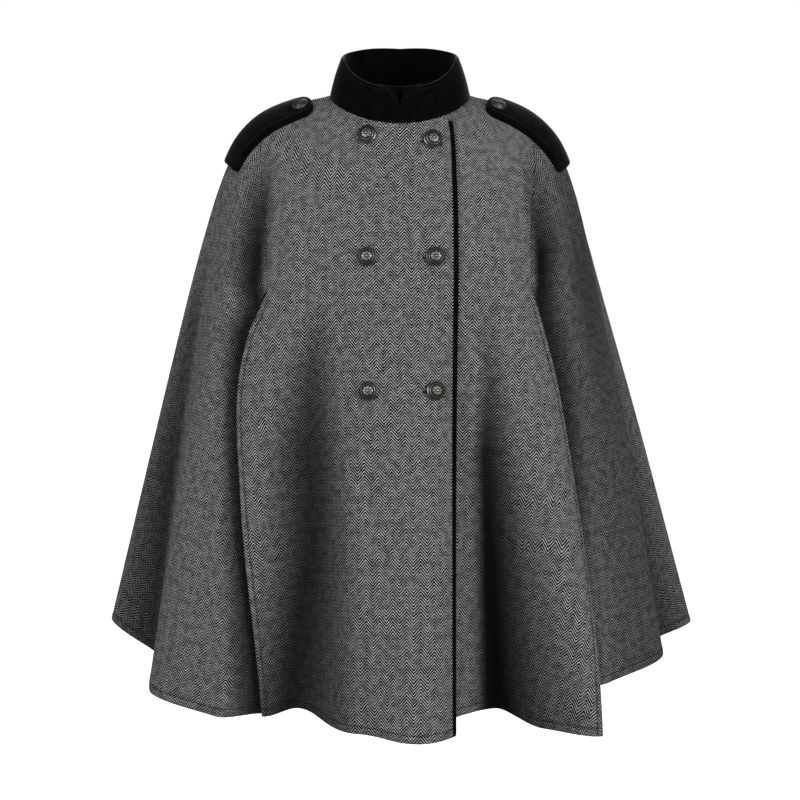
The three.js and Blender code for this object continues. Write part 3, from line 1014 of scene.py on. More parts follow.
@dataclass
class ClothPiece:
    """One cut piece of the cape's cloth."""

    name: str
    cut: Cut
    surface: Surface
    edges: Callable[[Array], tuple[Array, Array]]
    top: float
    grain: float
    columns: int
    rows: int = 150
    first: Border = Border.SEAM
    last: Border = Border.SEAM
    seam_gap: float = 0.05
    seam_shade: float = 0.7
    seam_shade_width: float = 1.5
    hem_stitch: float = 9
    slit_stitch: float = 6.6
    stitch_dent: float = 0.5
    stitch_shade: float = 1.2
    hem_swell: float = 0.35
    hem_swell_width: float = 3.5
    inner_dent: float = 0.6
    hem_margin: float = 3
    border_share: float = 0.8
    far_off: float = 1e3
    finest_row: float = 1e-5
    slit_opening: float = 0.03
    slit_sewn_from: float = 0.012
    facing_down: float = 0.13
    facing_fade: float = 0.004

    def downs(self) -> tuple[Array, Array]:
        """Works out the rows of the grid.

        Returns:
            The down of each row, and its distance from the hem in millimetres.
        """
        full = self.cut.hang.down_length
        hem = np.array(Border.HEM.value)[::-1]
        last = 1 - (hem[0] + self.hem_margin) / full
        plain = np.linspace(self.top, last, self.rows)
        corners = (self.cut.seam_start, self.cut.side_top, self.cut.slit_top)
        knots = [down for down in corners if down > self.top]
        roll = self.top + np.array(Border.SEAM.value[1:]) / full
        upper = np.unique(np.concatenate([plain, knots, roll]))
        keep = np.concatenate([[True], np.diff(upper) > self.finest_row])
        downs = np.concatenate([upper[keep], 1 - hem / full])
        distance = np.concatenate([(1 - upper[keep]) * full, hem])
        return downs, distance

    def turns(self, down: Array) -> tuple[Array, Array, Array]:
        """Works out the columns of the grid.

        Args:
            down: The down of each row.

        Returns:
            The turn of each grid point, and each column's distance from the
            first edge and from the last, in millimetres.
        """
        start, end = self.edges(down)
        start_speed = ring_speed(self.surface, start, down)
        end_speed = ring_speed(self.surface, end, down)
        width = (end - start) * (start_speed + end_speed) / 2
        near, far = np.array(self.first.value), np.array(self.last.value)
        shrink = np.minimum(1, self.border_share * width / (near[-1] + far[-1]))[:, None]
        low = start[:, None] + (near * shrink + self.seam_gap) / start_speed[:, None]
        high = end[:, None] - (far[::-1] * shrink + self.seam_gap) / end_speed[:, None]
        share = np.linspace(0, 1, self.columns + 1)[1:-1]
        inside = low[:, -1:] + (high[:, :1] - low[:, -1:]) * share
        # Only the border's own columns count as near an edge.
        from_first = np.concatenate([near, np.full(len(share) + len(far), self.far_off)])
        from_last = np.concatenate([np.full(len(near) + len(share), self.far_off), far[::-1]])
        return np.concatenate([low, inside, high], axis=1), from_first, from_last

    def build(self) -> tuple[bpy.types.Object, bpy.types.Object]:
        """Makes the piece and its stitches.

        Returns:
            The piece, with its border rolled and its stitch rows dented in, and
            the stitches.
        """
        downs, from_hem = self.downs()
        turn, from_first, from_last = self.turns(downs)
        down = np.broadcast_to(downs[:, None], turn.shape)
        face = self.surface(turn, down)
        normal = normals_of(self.surface, turn, down)
        from_top = (down - self.top) * self.cut.hang.down_length
        sides = np.minimum(from_first, from_last)
        edge = np.minimum(np.minimum(from_top, from_hem[:, None]), sides)
        fall = round_over(edge, self.cut.cloth / 2)
        borders = ((self.first, from_first), (self.last, from_last))
        open_share = smooth((down - self.cut.slit_top) / self.slit_opening)
        dent = groove(from_hem[:, None], self.hem_stitch, self.stitch_dent)
        painted_seam_shade = np.zeros(1)
        # Painted shade runs along each seam, and along a slit's edge only above its opening.
        for border, distance in borders:
            seam_line = 1 - smooth(distance / self.seam_shade_width)
            if border is Border.SLIT:
                dent = dent + groove(distance, self.slit_stitch, self.stitch_dent) * open_share
                seam_line = seam_line * (1 - open_share)
            painted_seam_shade = painted_seam_shade + seam_line * self.seam_shade
        hem_middle = self.hem_stitch / 2
        swell = groove(from_hem[:, None], hem_middle, self.hem_swell, self.hem_swell_width)
        outer = face + normal * (swell - fall - dent)[..., None]
        inner = face + normal * (fall + dent * self.inner_dent - self.cut.cloth)[..., None]
        layout = Layout(self.surface, self.grain, turn.min(), turn.max(), self.top)
        weave = layout.at(turn, down)
        marks = self.marks(turn, down, dent, painted_seam_shade)
        piece = SheetMesh(self.name, outer, inner, weave, marks).build()
        hem_row = int(np.argmin(np.abs(from_hem - self.hem_stitch)))
        lines = [(outer[hem_row], normal[hem_row])]
        open_rows = np.flatnonzero(downs > self.cut.slit_top + self.slit_sewn_from)
        for border, distance in borders:
            if border is Border.SLIT:
                near = int(np.argmin(np.abs(distance - self.slit_stitch)))
                lines.append((outer[open_rows, near], normal[open_rows, near]))
        stitches = Thread().sew(self.name.replace("cloth", "stitches"), lines)
        size = np.ptp(weave.reshape(-1, 2), axis=0) * MM
        area = area_of(face)
        log.info("%s: cut from %.2f by %.2f m, %.3f m2", self.name, *size, area)
        return piece, stitches

    def marks(
        self, turn: Array, down: Array, dent: Array, painted_seam_shade: Array
    ) -> dict[str, tuple[Array, Array]]:
        """Works out what the tweed's material reads at each point.

        Args:
            turn: Turns in radians.
            down: Downs.
            dent: How deep the stitch rows are dented in, in millimetres.
            painted_seam_shade: How dark the shade painted on the seams is, from 0 on.

        Returns:
            The shade painted in the folds, on the seams and in the stitch rows, and the
            dark facing inside the neck, each on the outer face and on the inner one.
        """
        shade = self.cut.hang.shade(self.name, turn, down)
        # Painted shade in the stitch rows' dents and on the seams is laid over the folds' painted
        # shade.
        clear = (1 - np.minimum(1, dent * self.stitch_shade)) * (1 - np.minimum(1, painted_seam_shade))
        shade = 1 - (1 - shade) * clear
        facing = smooth((self.facing_down - down) / self.facing_fade)
        facing_border = np.where(np.arange(len(down))[:, None] == 0, facing, 0)
        return {SHADE_ATTRIBUTE: (shade, shade), FACING_ATTRIBUTE: (facing_border, facing)}


@dataclass
class Piping:
    """The black piping on the right front's edge."""

    cut: Cut
    start: float = 0.014
    height: float = 3.6
    sunk: float = 0.75
    seam_gap: float = 0.1
    rows: int = 240
    columns: int = 12

    def build(self) -> bpy.types.Object:
        """Makes the piping.

        Returns:
            Its object, half round across and closed at both ends.
        """
        downs = np.linspace(self.start, 1, self.rows)
        first = self.cut.hang.turn_of_x(self.cut.front_edge(downs), downs)
        surface = self.cut.front_right
        speed = ring_speed(surface, first, downs)
        share = (1 - np.cos(np.linspace(0, np.pi, self.columns))) / 2
        distance = self.seam_gap + share * self.cut.piping_width
        turn = first[:, None] + distance / speed[:, None]
        down = np.broadcast_to(downs[:, None], turn.shape)
        face, normal = surface(turn, down), normals_of(surface, turn, down)
        row = np.arange(self.rows)
        ends = np.minimum(1, np.minimum(row, row[::-1]))[:, None]
        half = self.height / 2 * np.sqrt(np.maximum(0, 1 - (2 * share - 1) ** 2)) * ends
        outer = face + normal * (half - self.sunk)[..., None]
        inner = face - normal * (half + self.sunk)[..., None]
        along = (down - self.start) * self.cut.hang.down_length
        weave = np.stack([np.broadcast_to(distance, turn.shape), along], -1)
        piping = SheetMesh("piping_edge", outer, inner, weave).build()
        return piping


@dataclass
class Collar:
    """The felt stand collar, with a rolled top edge."""

    cut: Cut
    felt: float = 4
    base: tuple[float, float, float] = (82, 77.4, 67.4)
    top: tuple[float, float, float] = (68, 64, 57)
    squareness: float = 0.12
    end_rise: float = 15
    end_round: float = 21
    rises: Curve = field(
        default_factory=lambda: Curve((0, 50, 80, 105, 130, 180), (39, 40, 45, 47, 45, 40))
    )
    stitch: float = 4.5
    edge_round: float = 1.9
    belly: float = 1.2
    ring_length: float = 450
    usual_rise: float = 40
    end_gap: float = 0.12
    columns: int = 230
    edge_lines: tuple[float, ...] = (0, 0.15, 0.5, 1, 1.6, 2.4, 3.4, 3.9, 4.5, 5.1, 5.8, 7.5)
    rows: int = 13
    seam_rows: tuple[float, ...] = (0.98, 1.01, 1.025, 1.03)
    under_seam: float = 1.7
    stitch_dent: float = 0.5
    flat: tuple[float, float] = (0.49, 0.056)

    def face(self, turn: Array, rise: Array) -> Array:
        """Finds places on the collar's outer face.

        Args:
            turn: Turns in radians.
            rise: From the neck seam, 0, to the top, 1.

        Returns:
            A point for each place.
        """
        s, c = np.sin(turn), np.cos(turn)
        side, front, back = (a + (b - a) * rise for a, b in zip(self.base, self.top))
        power = 1 - self.squareness * rise
        depth = np.where(c > 0, front, back)
        ring = RINGS[0]
        z_end = np.where(c > 0, ring.z_front, ring.z_back)
        share = np.abs(c) ** self.cut.hang.shoulder_pitch
        seam = ring.z_side + (z_end - ring.z_side) * share
        height = seam + self.rises(np.abs(wrapped(turn))) * rise
        x = side * np.sign(s) * np.abs(s) ** power
        y = -depth * np.sign(c) * np.abs(c) ** power
        swell = self.belly * np.sin(np.pi * np.clip(rise, 0, 1))
        return np.stack([x, y, height], -1) + self.outward(turn) * swell[..., None]

    def outward(self, turn: Array) -> Array:
        """Finds which way the collar faces.

        Args:
            turn: Turns in radians.

        Returns:
            A level direction at each turn.
        """
        side, front, back = self.base
        depth = np.where(np.cos(turn) > 0, front, back)
        return unit(np.stack([np.sin(turn) / side, -np.cos(turn) / depth, 0 * turn], -1))

    def top_share(self, turn: Array) -> Array:
        """Works out how high the collar reaches, which falls at its ends.

        Args:
            turn: Turns in radians.

        Returns:
            A share of its rise at each turn.
        """
        x = np.abs(self.top[0] * np.sin(turn))
        t = np.clip(1 - x / self.end_round, 0, 1)
        end = self.end_rise / float(self.rises(np.array(0.0)))
        share = end + (1 - end) * np.sqrt(1 - t * t)
        return np.where(np.cos(turn) < 0, 1, share)

    def build(self) -> tuple[bpy.types.Object, bpy.types.Object]:
        """Makes the collar.

        Returns:
            The collar, and the stitches along its top edge.
        """
        radian = self.ring_length / (2 * np.pi)
        ends = np.array(Border.SEAM.value) / radian
        middle = np.linspace(ends[-1], 2 * np.pi - ends[-1], self.columns)
        gap = np.radians(self.end_gap)
        turns = np.concatenate([ends[:-1] + gap, middle, 2 * np.pi - gap - ends[:-1][::-1]])
        height = self.rises(np.abs(wrapped(turns))) * self.top_share(turns)
        lines = np.array(self.edge_lines) / self.usual_rise
        lower = np.append(np.linspace(0, 1, self.rows)[1:-1], self.seam_rows)
        fallen = np.concatenate([lines, lines[-1] + lower * (1 - lines[-1])])[:, None]
        from_top = fallen * self.usual_rise * np.ones_like(turns)
        rise = (1 - fallen) * self.top_share(turns)
        turn = np.broadcast_to(turns, rise.shape)
        from_end = np.minimum(turn, 2 * np.pi - turn) * radian
        from_base = rise * height + self.under_seam
        edge = np.minimum(np.minimum(from_top, from_end), from_base)
        fall = round_over(edge, self.edge_round)
        dent = groove(from_top, self.stitch, self.stitch_dent)
        face, outward = self.face(turn, rise), self.outward(turn)
        outer = face - outward * (fall + dent)[..., None]
        inner = face + outward * (fall - self.felt)[..., None]
        weave = np.stack([turn * radian, from_top], -1)
        collar = SheetMesh("collar_stand", outer, inner, weave).build()
        row = self.edge_lines.index(self.stitch)
        sewn = slice(len(ends), -len(ends))
        seam = (outer[row, sewn], outward[row, sewn])
        stitches = FELT_THREAD.sew("collar_stitches", [seam])
        area_of(face)
        return collar, stitches


@dataclass
class NeckTab:
    """A small felt tab inside one of the collar's ends, which closes their notch."""

    collar: Collar
    hand: Hand
    radius: float = 75
    outer_end: float = 21
    inner_end: float = 0.35
    notch_width: float = 2.9
    notch_top: float = 1.06
    notch_depth: float = 0.42
    top: float = 1.03
    lower_rows: tuple[float, float, int] = (0.93, 0.04, 14)
    columns: int = 14
    border: tuple[float, ...] = ROLL + (2.2,)
    behind: float = 0.3
    felt: float = 2
    flat: tuple[float, float] = (0.026, 0.042)

    def build(self) -> bpy.types.Object:
        """Makes the tab.

        Returns:
            Its object, just inside the collar.
        """
        collar, height = self.collar, self.collar.usual_rise
        border = np.array(self.border)
        outer_end = np.radians(self.outer_end)
        rises = np.concatenate([self.top - border / height, np.linspace(*self.lower_rows)])
        notch = smooth((self.notch_top - rises) / self.notch_depth)
        inner_end = np.radians(self.inner_end + self.notch_width * notch)[:, None]
        low = inner_end + border / self.radius
        high = outer_end - border[::-1] / self.radius + 0 * inner_end
        share = np.linspace(0, 1, self.columns)[1:-1]
        middle = low[:, -1:] + (high[:, :1] - low[:, -1:]) * share
        turn = np.concatenate([low, middle, high], axis=1)
        turn = turn if self.hand is Hand.LEFT else -turn[:, ::-1]
        rise = np.broadcast_to(rises[:, None], turn.shape)
        from_inner = (np.abs(turn) - inner_end) * self.radius
        from_outer = (outer_end - np.abs(turn)) * self.radius
        edge = np.minimum((self.top - rise) * height, np.minimum(from_inner, from_outer))
        fall = round_over(edge, self.felt / 2)
        face, outward = collar.face(turn, rise), collar.outward(turn)
        depth = collar.felt + self.behind
        outer = face - outward * (depth + fall)[..., None]
        inner = face - outward * (depth + self.felt - fall)[..., None]
        weave = np.stack([turn * self.radius, rise * height], -1)
        tab = SheetMesh(f"neck_tab_{self.hand.value}", outer, inner, weave).build()
        return tab


@dataclass
class Epaulette:
    """A padded felt shoulder strap, round at the neck and square at the arm."""

    cut: Cut
    hand: Hand
    inner_turn: float = 77.5
    inner_down: float = 0.034
    outer_turn: float = 81
    outer_down: float = 0.197
    width: float = 45
    thickness: float = 6
    round_length: float = 20
    corner: float = 7
    roll: float = 3.6
    stitch: float = 6.5
    end_skew: float = 0.16
    narrowest: float = 1.2
    edge_height: float = 0.6
    lift: float = 0.4
    under_lift: float = 0.3
    stitch_lift: float = 0.1
    stitch_dent: float = 0.35
    stitch_dent_width: float = 0.8
    rows: int = 121
    columns: int = 37
    button_at: tuple[float, float] = (0.13, -7.5)

    def place(self, along: Array, across: Array) -> tuple[Array, Array]:
        """Turns a place on the strap into a turn and a down.

        Args:
            along: From the round end, 0, to the square end, 1.
            across: Millimetres from the strap's middle line, forwards negative.

        Returns:
            The turn in radians and the down.
        """
        down = self.inner_down + (self.outer_down - self.inner_down) * along
        middle = np.radians(self.inner_turn + (self.outer_turn - self.inner_turn) * along)
        speed = ring_speed(self.cut.hang.at, middle, down)
        skewed = down + self.end_skew * across * along**2 / self.cut.hang.down_length
        return self.hand.sign * (middle + across / speed), skewed

    def surface(self, along: Array, across: Array) -> Array:
        """The cloth under the strap at a place on it."""
        return self.cut.hang.at(*self.place(along, across))

    def length(self) -> float:
        """Measures the strap over the shoulder.

        Returns:
            Its length in millimetres.
        """
        along = np.linspace(0, 1, 41)
        points = self.surface(along, 0 * along)
        return float(np.linalg.norm(np.diff(points, axis=0), axis=1).sum())

    def half_width(self, along: Array, length: float) -> Array:
        """Works out half the strap's width.

        Args:
            along: From the round end, 0, to the square end, 1.
            length: The strap's length in millimetres.

        Returns:
            Millimetres at each place.
        """
        half = self.width / 2
        from_round = np.clip(along * length / self.round_length, 0, 1)
        from_square = np.clip((1 - along) * length / self.corner, 0, 1)
        rounded = half * np.sqrt(1 - (1 - from_round) ** 2)
        cut_off = self.corner * (1 - np.sqrt(1 - (1 - from_square) ** 2))
        return np.maximum(self.narrowest, rounded - cut_off)

    def stitch_line(self, length: float) -> tuple[Array, Array]:
        """The line of stitches round the strap, inside its edge.

        Args:
            length: The strap's length in millimetres.

        Returns:
            Points on it, and the normal at each.
        """
        inset = self.width / 2 - self.stitch
        angle = np.linspace(-np.pi / 2, np.pi / 2, 25)
        x = self.round_length * (1 - np.cos(angle) * inset / (self.width / 2))
        straight = np.linspace(self.round_length, length - self.stitch, 60)
        end = np.linspace(-inset, inset, 12)
        x = np.concatenate([straight[::-1], x, straight, 0 * end + straight[-1]])
        side = np.full(len(straight), inset)
        across = np.concatenate([-side, inset * np.sin(angle), side, end[::-1]])
        turn, down = self.place(x / length, across * self.hand.sign)
        normal = normals_of(self.cut.hang.at, turn, down)
        lift = self.thickness + self.stitch_lift
        return self.cut.hang.at(turn, down) + normal * lift, normal

    def build(self) -> tuple[bpy.types.Object, bpy.types.Object]:
        """Makes the strap.

        Returns:
            The strap, with rolled edges, and the stitches round it.
        """
        length, wide = self.length(), self.width / 2
        share = np.linspace(0, 1, self.rows)
        along = (1 - np.cos(np.pi * share)) / 4 + share / 2
        half = self.half_width(along, length)[:, None]
        way = np.sin(np.linspace(-np.pi / 2, np.pi / 2, self.columns))
        across = half * way * self.hand.sign
        along = np.broadcast_to(along[:, None], across.shape)
        x = along * length
        radial = np.hypot(np.maximum(0, 1 - x / self.round_length), np.abs(across) / wide)
        from_sides = np.minimum(length - x, half * (1 - np.abs(way)))
        edge = np.where(x < self.round_length, (1 - radial) * wide, from_sides)
        edge = np.maximum(0, edge)
        fall = round_over(edge, self.roll) * (self.thickness - self.edge_height) / self.roll
        dent = groove(edge, self.stitch, self.stitch_dent, self.stitch_dent_width)
        turn, down = self.place(along, across)
        face, normal = self.cut.hang.at(turn, down), normals_of(self.cut.hang.at, turn, down)
        outer = face + normal * (self.lift + self.thickness - fall - dent)[..., None]
        inner = face + normal * self.under_lift
        sheet = (outer, inner, np.stack([across, x], -1))
        name = f"epaulette_strap_{self.hand.value}"
        strap = SheetMesh(name, *(part[:, ::-1] for part in sheet)).build()
        name = f"epaulette_stitches_{self.hand.value}"
        return strap, FELT_THREAD.sew(name, [self.stitch_line(length)])


@dataclass
class Buttonhole:
    """A stitched buttonhole that runs from under its button towards the right."""

    cut: Cut
    name: str
    turn: Array
    down: Array
    middle: float = -3.2
    length: float = 24
    slot: float = 1.1
    stitch_pitch: float = 0.8
    proud: float = 0.12
    sunk: float = 0.3
    narrowest: float = 0.002
    columns: int = 33
    rows: int = 7
    thread: Thread = Thread(length=2.4, radius=0.42)

    def at(self, x: Array, y: Array) -> tuple[Array, Array]:
        """Finds places near the button.

        Args:
            x: Millimetres across from it.
            y: Millimetres up from it.

        Returns:
            The points on the cloth, and the cloth's normal at each.
        """
        surface = self.cut.front_right
        fall = surface(self.turn, self.down + PROBE) - surface(self.turn, self.down - PROBE)
        turn = self.turn + x / ring_speed(surface, self.turn, self.down)
        down = self.down - y * 2 * PROBE / np.linalg.norm(fall)
        return surface(turn, down), normals_of(surface, turn, down)

    def outline(self, way: Array, reach: float) -> tuple[Array, Array]:
        """Finds places round the hole.

        Args:
            way: Millimetres along the slot's edge.
            reach: Millimetres from its middle line.

        Returns:
            How far each is across and up from the button.
        """
        straight = self.length - 2 * self.slot
        arc = np.pi * self.slot
        first_bend = np.clip((way - straight) / arc, 0, 1)
        last_bend = np.clip((way - 2 * straight - arc) / arc, 0, 1)
        back = np.clip(way - straight - arc, 0, straight)
        x = straight / 2 - np.clip(way, 0, straight) + back
        angle = np.pi / 2 + np.pi * (first_bend + last_bend)
        return self.middle + x + reach * np.cos(angle), reach * np.sin(angle)

    def build(self) -> tuple[bpy.types.Object, bpy.types.Object]:
        """Makes the buttonhole.

        Returns:
            The dark slot of painted shade inside the hole, and the stitches round it.
        """
        x = np.sin(np.linspace(-np.pi / 2, np.pi / 2, self.columns)) * self.length / 2
        end = np.maximum(0, np.abs(x) - self.length / 2 + self.slot) / self.slot
        half = self.slot * np.sqrt(np.maximum(self.narrowest, 1 - end**2))
        y = half[:, None] * np.linspace(-1, 1, self.rows)
        x = np.broadcast_to(x[:, None] + self.middle, y.shape)
        face, normal = self.at(x, y)
        # The faces' shared border is the lower one, so that it sinks into the cloth.
        below = (face - normal * self.sunk)[:, ::-1]
        above = (face + normal * self.proud)[:, ::-1]
        # The slot is a dark felt sheet: painted shade where the hole opens into the cloth.
        slot = SheetMesh(f"{self.name}_slot", below, above, np.stack([x, y], -1)).build()
        around = 2 * (self.length - 2 * self.slot) + 2 * np.pi * self.slot
        way = np.arange(0, around, self.stitch_pitch)
        near, normal = self.at(*self.outline(way, self.slot))
        far, _ = self.at(*self.outline(way, self.slot + self.thread.length))
        middles, ways = (near + far) / 2, unit(far - near)
        return slot, self.thread.build(f"{self.name}_stitches", middles, ways, normal)


class ButtonFace(Enum):
    """The generic raised pattern on a button."""

    ROSETTE = "rosette in a rope ring"
    RINGS = "plain rings"


@dataclass(frozen=True)
class Relief:
    """A raised ring or boss on a button, in shares of the button's radius."""

    at: float
    width: float
    power: int = 2

    def height(self, share: Array) -> Array:
        """How far it is raised at each distance from the middle, from 0 to 1."""
        return ridge(share, self.at, self.width, self.power)


RIM = Relief(0.93, 0.055)
ROPE = Relief(0.74, 0.05)
PETALS = Relief(0.38, 0.17, 4)
BOSS = Relief(0, 0.13, 4)
PLAIN_RINGS = (Relief(0.68, 0.06), Relief(0.4, 0.06), Relief(0, 0.2, 4))


@dataclass
class Button:
    """A cast metal button: a rim, a crowned face with a pattern, and a shank."""

    name: str
    diameter: float
    height: float
    pattern: ButtonFace
    steps: int = 96
    face_steps: int = 44
    brim: float = 3.6
    rim_height: float = 0.55
    rope_strands: int = 26
    rope_lean: float = 60
    petals: int = 8
    under: tuple[tuple[float, float], ...] = (
        (1, 3), (1, 2.4), (0.97, 1.9), (0.86, 1.8), (0.3, 1.8), (0.24, 1.6), (0.24, 0), (0.001, 0)
    )
    under_hollow: float = 0.6

    def crown(self, share: Array, angle: Array) -> tuple[Array, Array]:
        """The height of the face, and how deep in the pattern each place is.

        Args:
            share: Distance from the middle, as a share of the radius.
            angle: Angle round the middle in radians.

        Returns:
            The height over the back in millimetres, and a depth from 0 to 1.
        """
        rim = RIM.height(share)
        if self.pattern is ButtonFace.ROSETTE:
            dome = (self.height - 4.1) * np.maximum(0, 1 - (share / 0.92) ** 2) ** 0.62
            lean = (share - ROPE.at) * self.rope_lean
            lay = 0.5 + 0.5 * np.cos(self.rope_strands * angle + lean)
            rope = ROPE.height(share) * (0.45 + 0.55 * lay)
            petals = np.abs(np.cos(self.petals / 2 * angle)) ** 0.7 * PETALS.height(share)
            relief = np.maximum.reduce([rope, petals * 0.9, BOSS.height(share)])
            depth = 0.42
        else:
            dome = (self.height - 4.2) * np.maximum(0, 1 - (share / 0.9) ** 2) ** 0.9
            relief = np.maximum.reduce([ring.height(share) for ring in PLAIN_RINGS])
            depth = 0.45
        height = self.brim + dome + depth * relief + self.rim_height * rim
        return height, np.clip(1 - np.maximum(relief, rim), 0, 1)

    def build(self, centre: Array, normal: Array, lift: float) -> bpy.types.Object:
        """Makes the button where it is sewn on.

        Args:
            centre: The place on the cloth.
            normal: The cloth's outward normal there.
            lift: How far the button's back is off the cloth.

        Returns:
            The button's object.
        """
        under_shares, under_heights = np.array(self.under).T
        shares = np.concatenate([np.linspace(0.001, 0.985, self.face_steps), under_shares])
        angle = np.linspace(0, 2 * np.pi, self.steps, endpoint=False)
        grid, around = np.meshgrid(shares, angle, indexing="ij")
        height, hollow = self.crown(grid, around)
        height[-len(self.under) :] = under_heights[:, None]
        hollow[-len(self.under) :] = self.under_hollow
        x_way = unit(np.cross([0.0, 0.0, 1.0], normal))
        y_way = np.cross(normal, x_way)
        reach = grid * self.diameter / 2
        x, y = reach * np.cos(around), reach * np.sin(around)
        off_cloth = normal * (height + lift)[..., None]
        points = centre + x_way * x[..., None] + y_way * y[..., None] + off_cloth
        index = np.arange(grid.size).reshape(grid.shape)
        index = np.concatenate([index, index[:, :1]], axis=1)
        faces = SheetMesh.quads(index)
        weave = np.stack([x, y], -1)
        thing = make_object(self.name, points.reshape(-1, 3), faces, weave.reshape(-1, 2))
        mark(thing, HOLLOW_ATTRIBUTE, hollow)
        return thing


# -------------------------------------------------------------------- materials


class Wire:
    """A value that flows between a material's nodes, with arithmetic."""

    def __init__(self, graph: "Graph", socket: bpy.types.NodeSocket | None) -> None:
        """Wraps an output socket of a node in a graph, if the node has one."""
        self.graph = graph
        self.socket = socket

    def __add__(self, other: "Wire | float") -> "Wire":
        """This value plus another."""
        return self.graph.math("ADD", self, other)

    __radd__ = __add__

    def __sub__(self, other: "Wire | float") -> "Wire":
        """This value less another."""
        return self.graph.math("SUBTRACT", self, other)

    def __rsub__(self, other: float) -> "Wire":
        """A number less this value."""
        return self.graph.math("SUBTRACT", other, self)

    def __mul__(self, other: "Wire | float") -> "Wire":
        """This value times another."""
        return self.graph.math("MULTIPLY", self, other)

    __rmul__ = __mul__

    def __truediv__(self, other: "Wire | float") -> "Wire":
        """This value divided by another."""
        return self.graph.math("DIVIDE", self, other)

    def clamped(self) -> "Wire":
        """This value kept between 0 and 1."""
        return self.graph.math("MINIMUM", self.graph.math("MAXIMUM", self, 0.0), 1.0)

    def sine(self) -> "Wire":
        """The sine of this value in radians."""
        return self.graph.math("SINE", self)

    def triangle(self) -> "Wire":
        """A zigzag of this value: 0 at whole numbers and 1 halfway between."""
        part = self.graph.math("FRACT", self)
        return 1.0 - self.graph.math("ABSOLUTE", part * 2.0 - 1.0)

    def step(self, low: float, high: float) -> "Wire":
        """Goes smoothly from 0 to 1 as this value rises.

        Args:
            low: The value at which it is 0.
            high: The value at which it is 1.

        Returns:
            The step.
        """
        inputs = {"Value": self, "From Min": low, "From Max": high}
        settings = {"interpolation_type": "SMOOTHSTEP"}
        return self.graph.add("ShaderNodeMapRange", settings, inputs, "Result")


class Graph:
    """The node tree of a material or a world, built up by adding nodes."""

    def __init__(self, owner: bpy.types.Material | bpy.types.World) -> None:
        """Empties a node tree to build in.

        Args:
            owner: The material or the world that it belongs to.
        """
        self.owner = owner
        owner.use_nodes = True
        self.tree = owner.node_tree
        self.tree.nodes.clear()

    @classmethod
    def of_material(cls, name: str) -> "Graph":
        """Starts a new material of that name."""
        return cls(bpy.data.materials.new(name))

    def add(
        self,
        kind: str,
        settings: dict[str, Any] | None = None,
        inputs: dict[str | int, Any] | None = None,
        output: str | int = 0,
    ) -> Wire:
        """Adds a node.

        Args:
            kind: The node's type.
            settings: Its settings, which are set first.
            inputs: Values or wires by socket.
            output: The output to read.

        Returns:
            That output.
        """
        node = self.tree.nodes.new(kind)
        for key, value in (settings or {}).items():
            setattr(node, key, value)
        for key, value in (inputs or {}).items():
            if isinstance(value, Wire):
                self.tree.links.new(value.socket, node.inputs[key])
            else:
                node.inputs[key].default_value = value
        return Wire(self, node.outputs[output] if node.outputs else None)

    def math(self, operation: str, *values: Wire | float) -> Wire:
        """Adds a Math node for an operation on one or two values."""
        return self.add("ShaderNodeMath", {"operation": operation}, dict(enumerate(values)))

    def colour(self, share: Wire, low: Any, high: Any) -> Wire:
        """Mixes two colours, which are wires or tuples, by a share."""
        inputs = {0: share, 6: low, 7: high}
        return self.add("ShaderNodeMix", {"data_type": "RGBA"}, inputs, 2)

    def weave_place(self) -> tuple[Wire, Wire, Wire]:
        """Reads the place on the cut piece.

        Returns:
            The place as a vector, and how far it is across and along the grain.
        """
        place = self.add("ShaderNodeUVMap", {"uv_map": WEAVE_MAP})
        split = self.add("ShaderNodeSeparateXYZ", None, {0: place})
        return place, split, Wire(self, split.socket.node.outputs[1])

    def mark(self, name: str) -> Wire:
        """Reads a number stored on the mesh's points."""
        settings = {"attribute_type": "GEOMETRY", "attribute_name": name}
        return self.add("ShaderNodeAttribute", settings, None, "Fac")

    def noise(self, place: Wire, size: float, detail: float = 2.0) -> Wire:
        """Noise whose features are about size long in the place's units."""
        inputs = {"Vector": place, "Scale": 1 / size, "Detail": detail, "Roughness": 0.6}
        return self.add("ShaderNodeTexNoise", {"noise_dimensions": "3D"}, inputs)

    def finish(self, **sockets: Any) -> bpy.types.Material:
        """Ends the material in a Principled shader.

        Args:
            sockets: Its inputs, with underscores for spaces in their names.

        Returns:
            The material.
        """
        inputs = {key.replace("_", " "): value for key, value in sockets.items()}
        shader = self.add("ShaderNodeBsdfPrincipled", None, inputs)
        self.add("ShaderNodeOutputMaterial", None, {"Surface": shader})
        return self.owner

    def bump(self, height: Wire, distance: float) -> Wire:
        """A normal bumped by a height in units of distance, in metres."""
        inputs = {"Height": height, "Distance": distance, "Strength": 1.0}
        return self.add("ShaderNodeBump", None, inputs, "Normal")


